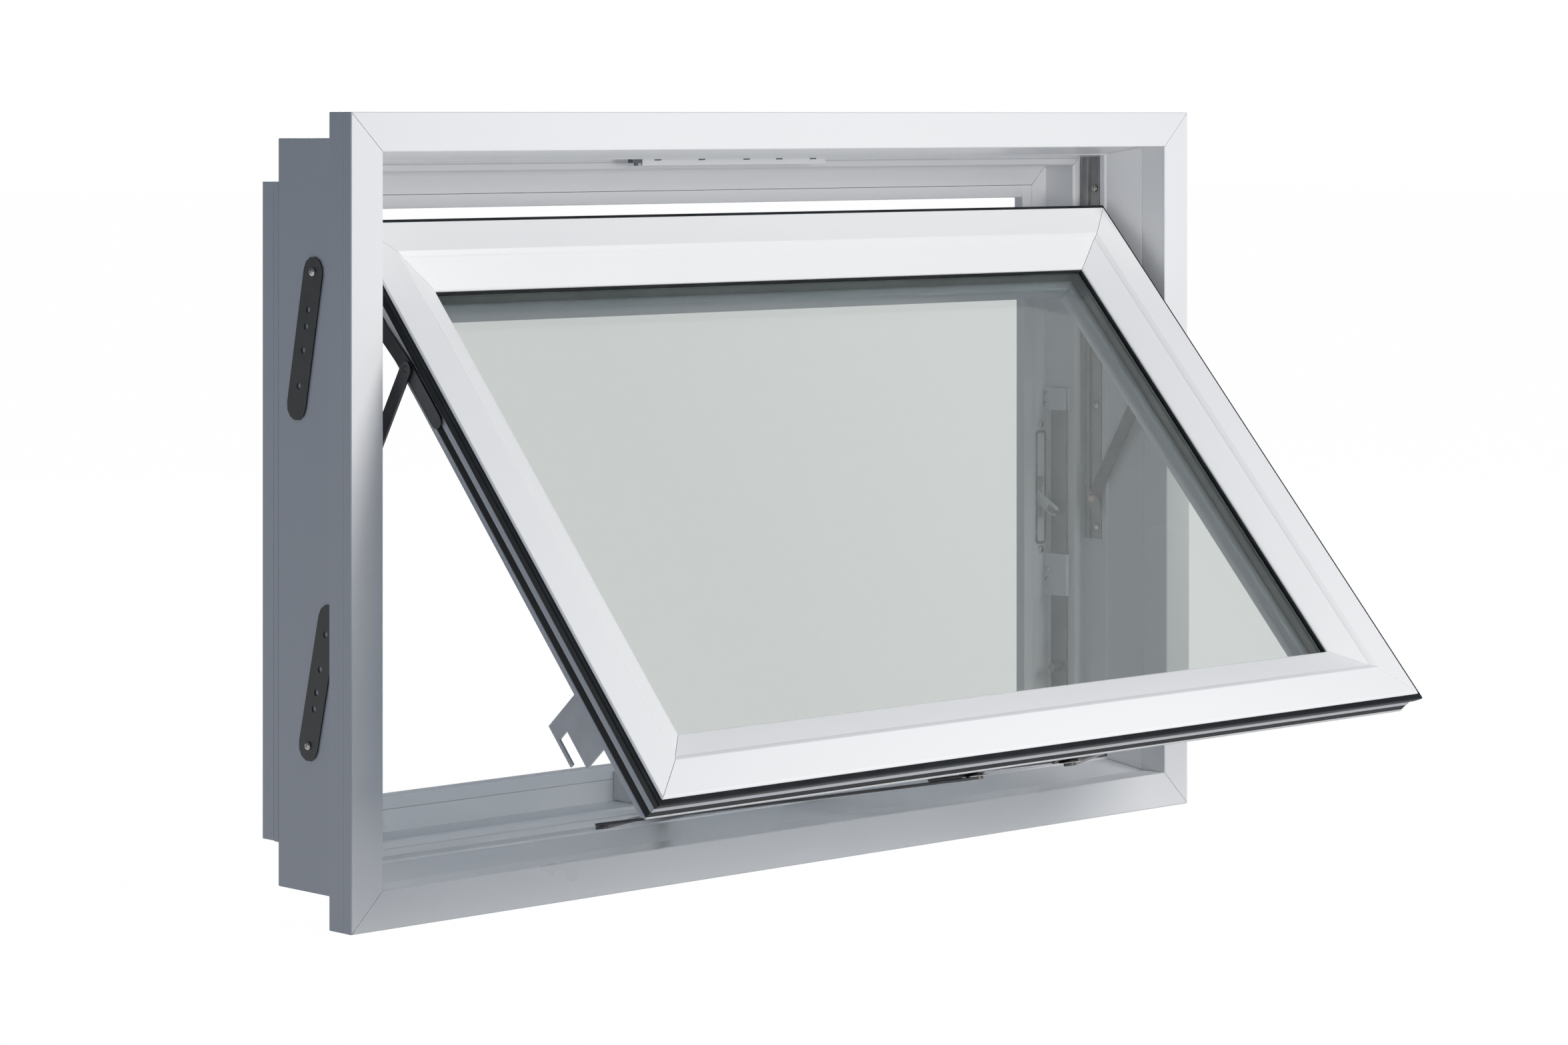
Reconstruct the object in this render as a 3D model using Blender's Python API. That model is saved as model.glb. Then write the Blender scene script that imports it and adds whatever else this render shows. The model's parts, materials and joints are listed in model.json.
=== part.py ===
"""Top-hung awning window with a crank operator, sash standing open.

X runs across the window, Y into the building, Z up. The origin is the middle of
the frame sill's underside. Insets are measured inwards from the outside of the
frame, and depths from the plane where the brickmould meets the frame.
"""
from math import asin, atan2, cos, hypot, pi, radians, sin

import bmesh
import bpy
from mathutils import Matrix, Vector

# ---------------------------------------------------------------- driving dimensions
FRAME_WIDTH = 0.964
FRAME_HEIGHT = 0.617
FRAME_DEPTH = 0.0965
GAP = 0.0003                      # between pieces that touch

BRICKMOULD_LAP = 0.0216           # stands out past the frame
BRICKMOULD_COVER = 0.0109         # reaches in over the frame's front edge
BRICKMOULD_DEPTH = 0.029
TONGUE_DEPTH = 0.010              # frame tongue in the brickmould's groove
TONGUE_INSET = 0.0026
TONGUE_WALL = 0.0056

RIB_DEPTH = 0.041                 # front of the rib that screens the hinge groove
RIB_WIDTH = 0.006
RIB_INSET = 0.0194
GROOVE_INSET = 0.0161             # floor of the hinge groove
WALL_DEPTH = 0.072                # face that the sash closes towards
WALL_INSET = 0.0294
FLANGE_DEPTH = 0.109              # front of the inner flange
FLANGE_INSET = 0.0484
FLANGE_WALL = 0.0045
STOP_INSET = 0.0604               # inner edge of the interior stop
STOP_THICKNESS = 0.012            # flange front to the room-side face
STOP_END_INSET = 0.036            # jamb stops end short of the corners
STOP_OUTER_INSET = 0.002

SASH_SIDE_INSET = 0.0274
SASH_END_INSET = 0.0206
SASH_THICKNESS = 0.040
SASH_LAND = 0.036                 # flat outer band of the sash face
SASH_FACE = 0.0635                # outer edge to the exterior sight line
SASH_FACE_DROP = 0.0155           # depth of the sight line behind the face
SASH_BACK_STEP = 0.009            # the room side of the sash is this much smaller
SASH_STEP_DEPTH = 0.0283
BEAD_FACE = 0.072                 # outer edge to the room-side sight line
BEAD_PROUD = 0.0155               # beads stand out of the sash's room side
GLASS_THICKNESS = 0.003
GLASS_SPACE = 0.012
GLASS_EDGE_INSET = 0.050
SPACER_WIDTH = 0.0125
SPACER_SETBACK = 0.002
GASKET_THICKNESS = 0.002

TRACK_PIVOT_DEPTH = 0.055         # line that the hinge shoes run along
TRACK_INNER_WIDTH = 0.0148
TRACK_THICKNESS = 0.0013
TRACK_LEDGE = 0.007
TRACK_TOP_GAP = 0.008
TRACK_TAIL = 0.040                # below the lower pivot
SHOE_PIVOT_DROP = 0.009           # below the sash's top edge
SHOE_PIVOT_DEPTH = 0.035          # behind the sash's face
ARM_PIVOT_DROP = 0.139
ARM_PIVOT_DEPTH = 0.020
SASH_ARM_LENGTH = 0.184
SUPPORT_ARM_LENGTH = 0.192
ARM_WIDTH = 0.013
ARM_THICKNESS = 0.0024
PIVOT_RADIUS = 0.0026
SHOE_WIDTH = 0.0070
SHOE_LENGTH = 0.024
REST_TILT = radians(41.7)         # sash angle from closed

OPERATOR_X = -0.020
OPERATOR_SPAN = 0.056             # from the operator's middle to each arm pivot
OPERATOR_DEPTH = 0.0655           # arm pivots, behind the brickmould plane
OPERATOR_ARM = 0.310
OPERATOR_PLATE = 0.0025
OPERATOR_ARM_WIDTH = 0.011
OPERATOR_RISE = 0.0225            # arm plane above the underside, at the pivots
OPERATOR_PIN = 0.0025
BRACKET_DEPTH = 0.0465            # bracket pivots behind the sash face
BRACKET_RISE = 0.0020             # bracket pivots above the sash's bottom edge
BRACKET_EAR = 0.0075              # ears above the pivots
SPINDLE_TILT = radians(20)
SPINDLE_RADIUS = 0.0042
SPINDLE_INSET_AT_STOP = 0.0490    # height of the spindle where it leaves the flange
WORM_RADIUS = 0.0072
CRANK_ARM = 0.062
CRANK_TURN = radians(75)          # handle from the spindle's line, hanging

LOCK_HEIGHT = 0.2644              # lever pivot above the underside
LOCK_INSET = 0.0390
LEVER_THICKNESS = 0.0050
LEVER_WIDTH = 0.0095
FORK_TRAVEL = 0.024               # tie bar travel from unlocked to locked
FORK_SWING = radians(30)          # fork either side of level
FORK_PIN_RADIUS = 0.0022
TIE_BAR_DEPTH = 0.0923
TIE_BAR_WIDTH = 0.0198
TIE_BAR_THICKNESS = 0.0020
TIE_BAR_BOTTOM = 0.050
TIE_BAR_TOP = 0.3704
ROLLER_HEIGHT = 0.1010            # unlocked
ROLLER_RADIUS = 0.0045
KEEPER_LENGTH = 0.052

CLIP_WIDTH = 0.0250
CLIP_THICKNESS = 0.0012
# Centres of each strap's rounded ends, as depth and height; the screwed end is first.
CLIP_ENDS = (("upper", (0.0480, 0.5080), (0.0705, 0.3978)),
             ("lower", (0.0545, 0.1197), (0.0285, 0.2250)))

# ---------------------------------------------------------------- worked-out places
FRONT_Y = -FRAME_DEPTH / 2
HALF_WIDTH = FRAME_WIDTH / 2
SASH_WIDTH = FRAME_WIDTH - 2 * SASH_SIDE_INSET
SASH_HEIGHT = FRAME_HEIGHT - 2 * SASH_END_INSET
FLANGE_BACK = FLANGE_DEPTH + FLANGE_WALL
ROOM_FACE = FLANGE_DEPTH + STOP_THICKNESS
SASH_FRONT = TRACK_PIVOT_DEPTH - SHOE_PIVOT_DEPTH        # closed face, as a depth
SASH_TOP = FRAME_HEIGHT - SASH_END_INSET

PIVOT_OFFSET = SHOE_PIVOT_DEPTH - ARM_PIVOT_DEPTH
PIVOT_DROP = ARM_PIVOT_DROP - SHOE_PIVOT_DROP
CRANK_LEG = hypot(PIVOT_OFFSET, PIVOT_DROP)
CLOSED_LEG_ANGLE = atan2(PIVOT_OFFSET, PIVOT_DROP)
CLOSED_ARM_ANGLE = asin(PIVOT_OFFSET / SUPPORT_ARM_LENGTH)
REST_LEG_ANGLE = CLOSED_LEG_ANGLE + REST_TILT
REST_ARM_ANGLE = asin(CRANK_LEG * sin(REST_LEG_ANGLE) / SUPPORT_ARM_LENGTH)
SHOE_CLOSED_Z = SASH_TOP - SHOE_PIVOT_DROP
ARM_FOOT_Z = SHOE_CLOSED_Z - PIVOT_DROP - SUPPORT_ARM_LENGTH * cos(CLOSED_ARM_ANGLE)
SHOE_REST_Z = (ARM_FOOT_Z + SUPPORT_ARM_LENGTH * cos(REST_ARM_ANGLE)
               + CRANK_LEG * cos(REST_LEG_ANGLE))


def depth(value):
    """World Y of a depth behind the brickmould plane."""
    return FRONT_Y + value


def jamb_x(side, inset):
    """World X of an inset from the frame's left (-1) or right (+1) outside."""
    return side * (HALF_WIDTH - inset)


SIDES = ((-1, "left"), (1, "right"))

# The hinge parts stand side by side between the groove's floor and the sash.
TRACK_INSET = GROOVE_INSET + GAP
SASH_ARM_INSET = SASH_SIDE_INSET - GAP - ARM_THICKNESS
SUPPORT_ARM_INSET = SASH_ARM_INSET - GAP - ARM_THICKNESS


# ---------------------------------------------------------------- scene and materials
for old in list(bpy.data.objects):
    bpy.data.objects.remove(old, do_unlink=True)

window = bpy.data.collections.new("awning_window")
cutters = bpy.data.collections.new("cutters")
for group in (window, cutters):
    bpy.context.scene.collection.children.link(group)


def finish(name, colour, roughness, metallic=0.0):
    """One Principled material."""
    material = bpy.data.materials.new(name)
    material.use_nodes = True
    shader = material.node_tree.nodes["Principled BSDF"]
    shader.inputs["Base Color"].default_value = (*colour, 1.0)
    shader.inputs["Roughness"].default_value = roughness
    shader.inputs["Metallic"].default_value = metallic
    return material


PVC = finish("white_pvc", (0.83, 0.84, 0.86), 0.35)
RUBBER = finish("black_rubber", (0.012, 0.014, 0.016), 0.6)
GLASS = finish("clear_glass", (0.62, 0.70, 0.68), 0.05)
SPACER = finish("spacer_metal", (0.10, 0.11, 0.12), 0.4, 0.8)
STEEL = finish("hinge_steel", (0.20, 0.185, 0.18), 0.35, 1.0)
DARK_STEEL = finish("clip_steel", (0.05, 0.05, 0.055), 0.45, 0.9)
DIECAST = finish("painted_diecast", (0.75, 0.76, 0.77), 0.4)
NYLON = finish("black_nylon", (0.02, 0.02, 0.022), 0.5)


# ---------------------------------------------------------------- modelling helpers
def place(obj, material, parent=None, matrix=None):
    """Put a finished shape in the window with its material."""
    obj.data.materials.append(material)
    window.objects.link(obj)
    if matrix is not None:
        obj.matrix_world = matrix
    obj.parent = parent
    return obj


def mesh_object(name, mesh_builder):
    """A new object from a finished bmesh, its faces pointing out."""
    bmesh.ops.recalc_face_normals(mesh_builder, faces=mesh_builder.faces)
    mesh = bpy.data.meshes.new(name)
    mesh_builder.to_mesh(mesh)
    mesh_builder.free()
    return bpy.data.objects.new(name, mesh)


def loft(name, sections, closed=False):
    """Skin between equal rings of points, capped unless the row is closed."""
    bm = bmesh.new()
    rings = [[bm.verts.new(point) for point in section] for section in sections]
    count = len(rings)
    for first in range(count if closed else count - 1):
        a, b = rings[first], rings[(first + 1) % count]
        for i in range(len(a)):
            j = (i + 1) % len(a)
            bm.faces.new((a[i], a[j], b[j], b[i]))
    if not closed:
        bm.faces.new(rings[0])
        bm.faces.new(reversed(rings[-1]))
    return mesh_object(name, bm)


def bar(name, profile, length, mitred=True):
    """Straight bar along X. Profile points are (depth, inset); mitred ends follow the inset."""
    half = length / 2 - (0.75 * GAP if mitred else 0.0)
    ends = []
    for sign in (-1, 1):
        ends.append([(sign * (half - (inset if mitred else 0.0)), deep, inset)
                     for deep, inset in profile])
    return loft(name, ends)


def around(angle, width, height, middle=(0.0, 0.0, 0.0)):
    """Matrix that turns a bottom bar to one side of a width by height rectangle."""
    reach = height / 2 if abs(sin(angle)) < 0.5 else width / 2
    turn = Matrix.Rotation(angle, 4, "Y")
    return Matrix.Translation(middle) @ turn @ Matrix.Translation((0, 0, -reach))


def mitred_ring(name, profile, width, height):
    """One closed ring, its profile carried round four mitred corners."""
    corners = ((-1, -1), (1, -1), (1, 1), (-1, 1))
    return loft(name, [[(sx * (width / 2 - inset), deep, sz * (height / 2 - inset))
                        for deep, inset in profile] for sx, sz in corners], closed=True)


def four_sides(names, profile, width, height, material, parent, middle):
    """Bottom, top, left and right bars of a rectangle, each its own piece."""
    turns = (0.0, pi, pi / 2, -pi / 2)
    made = []
    for name, angle in zip(names, turns):
        length = width if abs(sin(angle)) < 0.5 else height
        shape = bar(name, profile, length)
        made.append(place(shape, material, parent, around(angle, width, height, middle)))
    return made


def box(name, low, high):
    """A box between two corners."""
    bm = bmesh.new()
    bmesh.ops.create_cube(bm, size=1.0)
    size = Vector(high) - Vector(low)
    bmesh.ops.scale(bm, vec=size, verts=bm.verts)
    bmesh.ops.translate(bm, vec=(Vector(high) + Vector(low)) / 2, verts=bm.verts)
    return mesh_object(name, bm)


def cylinder(name, radius, start, end, segments=16, tip=None):
    """A round bar between two points, or a cone when tip gives its end radius."""
    bm = bmesh.new()
    axis = Vector(end) - Vector(start)
    turn = axis.to_track_quat("Z", "Y").to_matrix().to_4x4()
    middle = Matrix.Translation((Vector(start) + Vector(end)) / 2)
    bmesh.ops.create_cone(bm, cap_ends=True, segments=segments, radius1=radius,
                          radius2=radius if tip is None else tip, depth=axis.length,
                          matrix=middle @ turn)
    return mesh_object(name, bm)


def strip_outline(path, width, steps=6):
    """Outline of a flat strip with round ends that follows a straight or bent centre line."""
    line = [Vector(point) for point in path]
    headings = [(b - a).normalized() for a, b in zip(line, line[1:])]

    def cap(centre, heading):
        start = atan2(heading.y, heading.x) - pi / 2
        return [(centre.x + width / 2 * cos(start + pi * i / steps),
                 centre.y + width / 2 * sin(start + pi * i / steps)) for i in range(steps + 1)]

    def bends(side):
        points = []
        for i in range(1, len(line) - 1):
            along_line = (headings[i - 1] + headings[i]).normalized()
            out = Vector((-along_line.y, along_line.x)) * side * width / 2
            points.append(tuple(line[i] + out / along_line.dot(headings[i])))
        return points

    return bends(-1) + cap(line[-1], headings[-1]) + bends(1)[::-1] + cap(line[0], -headings[0])


def flat_plate(name, outline, thickness, holes=()):
    """A flat outline with round holes, centred on its own plane."""
    curve = bpy.data.curves.new(name + "_outline", "CURVE")
    curve.dimensions = "2D"
    curve.fill_mode = "BOTH"
    curve.extrude = thickness / 2
    loops = [outline]
    for x, y, radius in holes:
        loops.append([(x + radius * cos(2 * pi * i / 12), y + radius * sin(2 * pi * i / 12))
                      for i in range(12)])
    for loop in loops:
        spline = curve.splines.new("POLY")
        spline.points.add(len(loop) - 1)
        spline.use_cyclic_u = True
        for point, (x, y) in zip(spline.points, loop):
            point.co = (x, y, 0, 1)
    source = bpy.data.objects.new(name + "_outline", curve)
    bpy.context.scene.collection.objects.link(source)
    bpy.context.view_layer.update()
    evaluated = source.evaluated_get(bpy.context.evaluated_depsgraph_get())
    mesh = bpy.data.meshes.new_from_object(evaluated)
    bpy.data.objects.remove(source)
    mesh.name = name
    mesh.materials.clear()
    bm = bmesh.new()
    bm.from_mesh(mesh)
    bmesh.ops.remove_doubles(bm, verts=bm.verts, dist=0.000001)
    bmesh.ops.recalc_face_normals(bm, faces=bm.faces)
    bm.to_mesh(mesh)
    bm.free()
    return bpy.data.objects.new(name, mesh)


# Turns a plate drawn as (depth, height) to stand square to the window's plane.
STAND = Matrix.Rotation(pi / 2, 4, "Z") @ Matrix.Rotation(pi / 2, 4, "X")


def boolean(target, tool, operation):
    """Cut with, or join on, a tool that stays hidden with the cutters."""
    cutters.objects.link(tool)
    tool.hide_render = True
    tool.display_type = "WIRE"
    tool.parent = target.parent
    modifier = target.modifiers.new(tool.name, "BOOLEAN")
    modifier.operation = operation
    modifier.solver = "EXACT"
    modifier.object = tool


def cut(target, *tools):
    for tool in tools:
        boolean(target, tool, "DIFFERENCE")


def join(target, *tools):
    for tool in tools:
        boolean(target, tool, "UNION")


def empty(name, location, turn, parent=None):
    """A pivot that the pieces of one moving body hang on."""
    pivot = bpy.data.objects.new(name, None)
    window.objects.link(pivot)
    pivot.location = location
    pivot.rotation_euler = turn
    pivot.parent = parent
    return pivot


# ---------------------------------------------------------------- frame and brickmould
FRAME_MIDDLE = (0.0, FRONT_Y, FRAME_HEIGHT / 2)


def frame_profile():
    """Section of the four welded frame members, from the tongue round to the outside."""
    tongue = (TONGUE_INSET, TONGUE_INSET + TONGUE_WALL)
    lip = 0.0015
    return [
        (GAP, 0.0), (GAP, tongue[0]), (-TONGUE_DEPTH, tongue[0]), (-TONGUE_DEPTH, tongue[1]),
        (GAP, tongue[1]), (GAP, BRICKMOULD_COVER), (RIB_DEPTH - lip, RIB_INSET - lip),
        (RIB_DEPTH, RIB_INSET), (RIB_DEPTH + RIB_WIDTH, RIB_INSET),
        (RIB_DEPTH + RIB_WIDTH, GROOVE_INSET), (WALL_DEPTH + 0.002, GROOVE_INSET),
        (WALL_DEPTH + 0.002, WALL_INSET - 0.0075), (WALL_DEPTH, WALL_INSET - 0.0065),
        (WALL_DEPTH, WALL_INSET - lip), (WALL_DEPTH + lip, WALL_INSET),
        (FLANGE_DEPTH, WALL_INSET), (FLANGE_DEPTH, FLANGE_INSET), (FLANGE_BACK, FLANGE_INSET),
        (FLANGE_BACK, WALL_INSET - 0.005), (FRAME_DEPTH, WALL_INSET - 0.005),
        (FRAME_DEPTH, 0.0),
    ]


def brickmould_profile():
    """Section of the exterior casing, with the groove that takes the frame's tongue."""
    front = -BRICKMOULD_DEPTH
    slot = (TONGUE_INSET - GAP, TONGUE_INSET + TONGUE_WALL + GAP)
    soft = 0.0008
    line = front + 0.010
    return [
        (0.0, -BRICKMOULD_LAP), (line + soft / 2, -BRICKMOULD_LAP),
        (line, -BRICKMOULD_LAP + soft / 2), (line - soft / 2, -BRICKMOULD_LAP),
        (front + soft, -BRICKMOULD_LAP), (front, soft - BRICKMOULD_LAP),
        (front, BRICKMOULD_COVER - soft), (front + soft, BRICKMOULD_COVER),
        (0.0, BRICKMOULD_COVER), (0.0, slot[1]), (-TONGUE_DEPTH - GAP, slot[1]),
        (-TONGUE_DEPTH - GAP, slot[0]), (0.0, slot[0]),
    ]


MEMBERS = ("sill", "head", "jamb_left", "jamb_right")
frame_members = four_sides(["frame_" + m for m in MEMBERS], frame_profile(), FRAME_WIDTH,
                           FRAME_HEIGHT, PVC, None, FRAME_MIDDLE)
frame_sill = frame_members[0]
frame_jambs = {-1: frame_members[2], 1: frame_members[3]}
four_sides(["brickmould_" + m for m in MEMBERS], brickmould_profile(), FRAME_WIDTH,
           FRAME_HEIGHT, PVC, None, FRAME_MIDDLE)


# ---------------------------------------------------------------- interior stops
def jamb_stop_profile():
    """Jamb stops wrap the back of the frame body; depth and inset as for the frame."""
    front = FLANGE_DEPTH
    return [
        (front, FLANGE_INSET + GAP), (front + 0.0015, STOP_INSET - 0.0005),
        (front + 0.003, STOP_INSET), (ROOM_FACE, STOP_INSET), (ROOM_FACE, STOP_OUTER_INSET),
        (FRAME_DEPTH + 0.0090, STOP_OUTER_INSET), (FRAME_DEPTH + 0.0090, STOP_OUTER_INSET + 0.002),
        (FRAME_DEPTH + 0.0060, STOP_OUTER_INSET + 0.002), (FRAME_DEPTH + 0.0060, 0.0),
        (FRAME_DEPTH + GAP, 0.0), (FRAME_DEPTH + GAP, WALL_INSET - 0.005 - GAP),
        (FLANGE_BACK + GAP, WALL_INSET - 0.005 - GAP),
        (FLANGE_BACK + GAP, FLANGE_INSET + GAP),
    ]


def rail_stop_profile():
    """Head and sill stops sit on the flange between the jamb stops."""
    front = FLANGE_DEPTH
    return [
        (front, FLANGE_INSET + GAP), (front + 0.0015, STOP_INSET - 0.0005),
        (front + 0.003, STOP_INSET), (ROOM_FACE, STOP_INSET), (ROOM_FACE, STOP_END_INSET),
        (FLANGE_BACK + GAP, STOP_END_INSET), (FLANGE_BACK + GAP, FLANGE_INSET + GAP),
    ]


stop_rails = {}
for name, angle in (("stop_sill", 0.0), ("stop_head", pi)):
    shape = bar(name, rail_stop_profile(), FRAME_WIDTH - 2 * (STOP_INSET + GAP), mitred=False)
    stop_rails[name] = place(shape, PVC, None,
                             around(angle, FRAME_WIDTH, FRAME_HEIGHT, FRAME_MIDDLE))
stop_jambs = {}
for side, word in SIDES:
    shape = bar("stop_jamb_" + word, jamb_stop_profile(),
                FRAME_HEIGHT - 2 * STOP_END_INSET, mitred=False)
    stop_jambs[side] = place(shape, PVC, None, around(-side * pi / 2, FRAME_WIDTH,
                                                      FRAME_HEIGHT, FRAME_MIDDLE))
    for end, low in (("bottom", -0.01), ("top", FRAME_HEIGHT - FLANGE_INSET - GAP)):
        notch_x = sorted((jamb_x(side, WALL_INSET - 0.004), jamb_x(side, STOP_INSET + 0.01)))
        notch = box(f"stop_notch_{word}_{end}",
                    (notch_x[0], depth(FRAME_DEPTH + 0.001), low),
                    (notch_x[1], depth(FLANGE_BACK + GAP), low + FLANGE_INSET + GAP + 0.01))
        cut(stop_jambs[side], notch)

# ---------------------------------------------------------------- installation clips
for side, word in SIDES:
    for level, screwed, free in CLIP_ENDS:
        direction = (Vector(free) - Vector(screwed)).normalized()
        holes = [(*(Vector(screwed) + direction * reach), 0.0026)
                 for reach in (0.0, 0.032, 0.046, 0.066, 0.096)]
        shape = flat_plate(f"clip_{word}_{level}", strip_outline((screwed, free), CLIP_WIDTH),
                           CLIP_THICKNESS, holes)
        clip_x = jamb_x(side, -GAP - CLIP_THICKNESS / 2)
        place(shape, DARK_STEEL, None, Matrix.Translation((clip_x, FRONT_Y, 0)) @ STAND)


# ---------------------------------------------------------------- hinges
TRACK_FRONT = RIB_DEPTH + RIB_WIDTH + GAP
TRACK_BACK = TRACK_PIVOT_DEPTH + TRACK_INNER_WIDTH / 2
TRACK_LIP = TRACK_INSET + 0.0035
TRACK_LOW = ARM_FOOT_Z - TRACK_TAIL
TRACK_HIGH = FRAME_HEIGHT - WALL_INSET + TRACK_TOP_GAP


def track_profile():
    """Section of the hinge track: a channel with a ledge on its room side."""
    floor = TRACK_INSET + TRACK_THICKNESS
    return [
        (TRACK_FRONT, TRACK_INSET), (TRACK_FRONT, TRACK_LIP),
        (TRACK_FRONT + TRACK_THICKNESS, TRACK_LIP), (TRACK_FRONT + TRACK_THICKNESS, floor),
        (TRACK_BACK, floor), (TRACK_BACK, TRACK_LIP), (TRACK_BACK + TRACK_LEDGE, TRACK_LIP),
        (TRACK_BACK + TRACK_LEDGE, TRACK_LIP - TRACK_THICKNESS),
        (TRACK_BACK + TRACK_THICKNESS, TRACK_LIP - TRACK_THICKNESS),
        (TRACK_BACK + TRACK_THICKNESS, TRACK_INSET),
    ]


for side, word in SIDES:
    track = bar("hinge_track_" + word, track_profile(), TRACK_HIGH - TRACK_LOW, mitred=False)
    middle_z = (TRACK_HIGH + TRACK_LOW) / 2
    track = place(track, STEEL, None, around(-side * pi / 2, FRAME_WIDTH, FRAME_HEIGHT,
                                             (0.0, FRONT_Y, middle_z)))
    foot_y = depth(TRACK_PIVOT_DEPTH)
    join(track, cylinder(f"track_stud_{word}", PIVOT_RADIUS,
                         (jamb_x(side, TRACK_INSET + TRACK_THICKNESS / 2), foot_y, ARM_FOOT_Z),
                         (jamb_x(side, SUPPORT_ARM_INSET + ARM_THICKNESS - GAP), foot_y,
                          ARM_FOOT_Z), 12))

    foot = empty("support_arm_pivot_" + word, (0, foot_y, ARM_FOOT_Z), (REST_ARM_ANGLE, 0, 0))
    tip = (0, SUPPORT_ARM_LENGTH)
    arm = flat_plate("support_arm_" + word, strip_outline(((0, 0), tip), ARM_WIDTH),
                     ARM_THICKNESS, [(0, 0, PIVOT_RADIUS + GAP), (*tip, PIVOT_RADIUS + GAP)])
    arm_x = jamb_x(side, SUPPORT_ARM_INSET + ARM_THICKNESS / 2)
    place(arm, STEEL, foot, Matrix.Translation((arm_x, 0, 0)) @ STAND)


# ---------------------------------------------------------------- sash
# The sash is laid out about its shoe pivot: X as the window, Y behind the pivot, Z up.
sash_pivot = empty("sash_pivot", (0, depth(TRACK_PIVOT_DEPTH), SHOE_REST_Z), (-REST_TILT, 0, 0))
SASH_FACE_Y = -SHOE_PIVOT_DEPTH
SASH_EDGE_TOP = SHOE_PIVOT_DROP
SASH_EDGE_BOTTOM = SASH_EDGE_TOP - SASH_HEIGHT
SASH_MIDDLE = (0.0, SASH_FACE_Y, (SASH_EDGE_TOP + SASH_EDGE_BOTTOM) / 2)
GLASS_FRONT = SASH_FACE_DROP + 0.0015 + GASKET_THICKNESS
GLASS_BACK = GLASS_FRONT + 2 * GLASS_THICKNESS + GLASS_SPACE
OUTER_SEAL = (0.0022, 0.0125)     # depths of the outer seal's groove in the sash edge
MIDDLE_SEAL = (0.0190, 0.0260)    # depths of the second seal's groove
SEAL_GROOVE = 0.0025


def sash_profile():
    """Section of the sash rails and stiles, from the outer edge round to the glazing rebate."""
    rebate = GLASS_EDGE_INSET - 0.002
    return [
        (0.0, 0.0015), (0.0, SASH_LAND - 0.004), (0.0022, SASH_LAND), (0.0034, SASH_LAND + 0.001),
        (SASH_FACE_DROP - 0.002, SASH_FACE - 0.002), (SASH_FACE_DROP, SASH_FACE),
        (SASH_FACE_DROP + 0.0015, SASH_FACE), (SASH_FACE_DROP + 0.0015, rebate),
        (SASH_THICKNESS, rebate), (SASH_THICKNESS, SASH_BACK_STEP),
        (SASH_STEP_DEPTH, SASH_BACK_STEP - 0.003), (SASH_STEP_DEPTH, 0.0),
        (MIDDLE_SEAL[1], 0.0), (MIDDLE_SEAL[1], SEAL_GROOVE), (MIDDLE_SEAL[0], SEAL_GROOVE),
        (MIDDLE_SEAL[0], 0.0), (OUTER_SEAL[1], 0.0), (OUTER_SEAL[1], SEAL_GROOVE),
        (OUTER_SEAL[0], SEAL_GROOVE), (OUTER_SEAL[0], 0.0), (0.0015, 0.0),
    ]


def bead_profile():
    """Section of the room-side glazing beads, stepped halfway along their inner side."""
    outer = GLASS_EDGE_INSET - 0.002 + GAP
    proud = SASH_THICKNESS + BEAD_PROUD
    step = SASH_THICKNESS + 0.0050
    return [
        (GLASS_BACK + GAP, outer), (GLASS_BACK + GAP, BEAD_FACE - 0.001),
        (GLASS_BACK + 0.0015, BEAD_FACE), (step - 0.0005, BEAD_FACE - 0.0005),
        (step, BEAD_FACE - 0.0015), (proud - 0.001, BEAD_FACE - 0.0030),
        (proud, BEAD_FACE - 0.0050), (proud, outer + 0.001), (proud - 0.001, outer),
    ]


four_sides(("sash_bottom_rail", "sash_top_rail", "sash_stile_left", "sash_stile_right"),
           sash_profile(), SASH_WIDTH, SASH_HEIGHT, PVC, sash_pivot, SASH_MIDDLE)
four_sides(("bead_bottom", "bead_top", "bead_left", "bead_right"),
           bead_profile(), SASH_WIDTH, SASH_HEIGHT, PVC, sash_pivot, SASH_MIDDLE)


def sash_ring(name, profile, material):
    """A ring carried right round the sash."""
    ring = mitred_ring(name, profile, SASH_WIDTH, SASH_HEIGHT)
    return place(ring, material, sash_pivot, Matrix.Translation(SASH_MIDDLE))


def pane(name, front):
    """One sheet of glass, its front face at this depth."""
    half_x = SASH_WIDTH / 2 - GLASS_EDGE_INSET
    half_z = SASH_HEIGHT / 2 - GLASS_EDGE_INSET
    sheet = box(name, (-half_x, front, -half_z), (half_x, front + GLASS_THICKNESS, half_z))
    place(sheet, GLASS, sash_pivot, Matrix.Translation(SASH_MIDDLE))


pane("outer_pane", GLASS_FRONT)
pane("inner_pane", GLASS_FRONT + GLASS_THICKNESS + GLASS_SPACE)
SPACER_FRONT = GLASS_FRONT + GLASS_THICKNESS + GAP
SPACER_BACK = GLASS_FRONT + GLASS_THICKNESS + GLASS_SPACE - GAP
sash_ring("glass_spacer", [
    (SPACER_FRONT, GLASS_EDGE_INSET + SPACER_SETBACK),
    (SPACER_FRONT, GLASS_EDGE_INSET + SPACER_SETBACK + SPACER_WIDTH),
    (SPACER_BACK, GLASS_EDGE_INSET + SPACER_SETBACK + SPACER_WIDTH),
    (SPACER_BACK, GLASS_EDGE_INSET + SPACER_SETBACK)], SPACER)
sash_ring("glazing_gasket", [
    (GLASS_FRONT - GASKET_THICKNESS + GAP, GLASS_EDGE_INSET + 0.001),
    (GLASS_FRONT - GASKET_THICKNESS + GAP, SASH_FACE + 0.0010),
    (GLASS_FRONT - GAP, SASH_FACE + 0.0016), (GLASS_FRONT - GAP, GLASS_EDGE_INSET + 0.001)],
    RUBBER)


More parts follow.
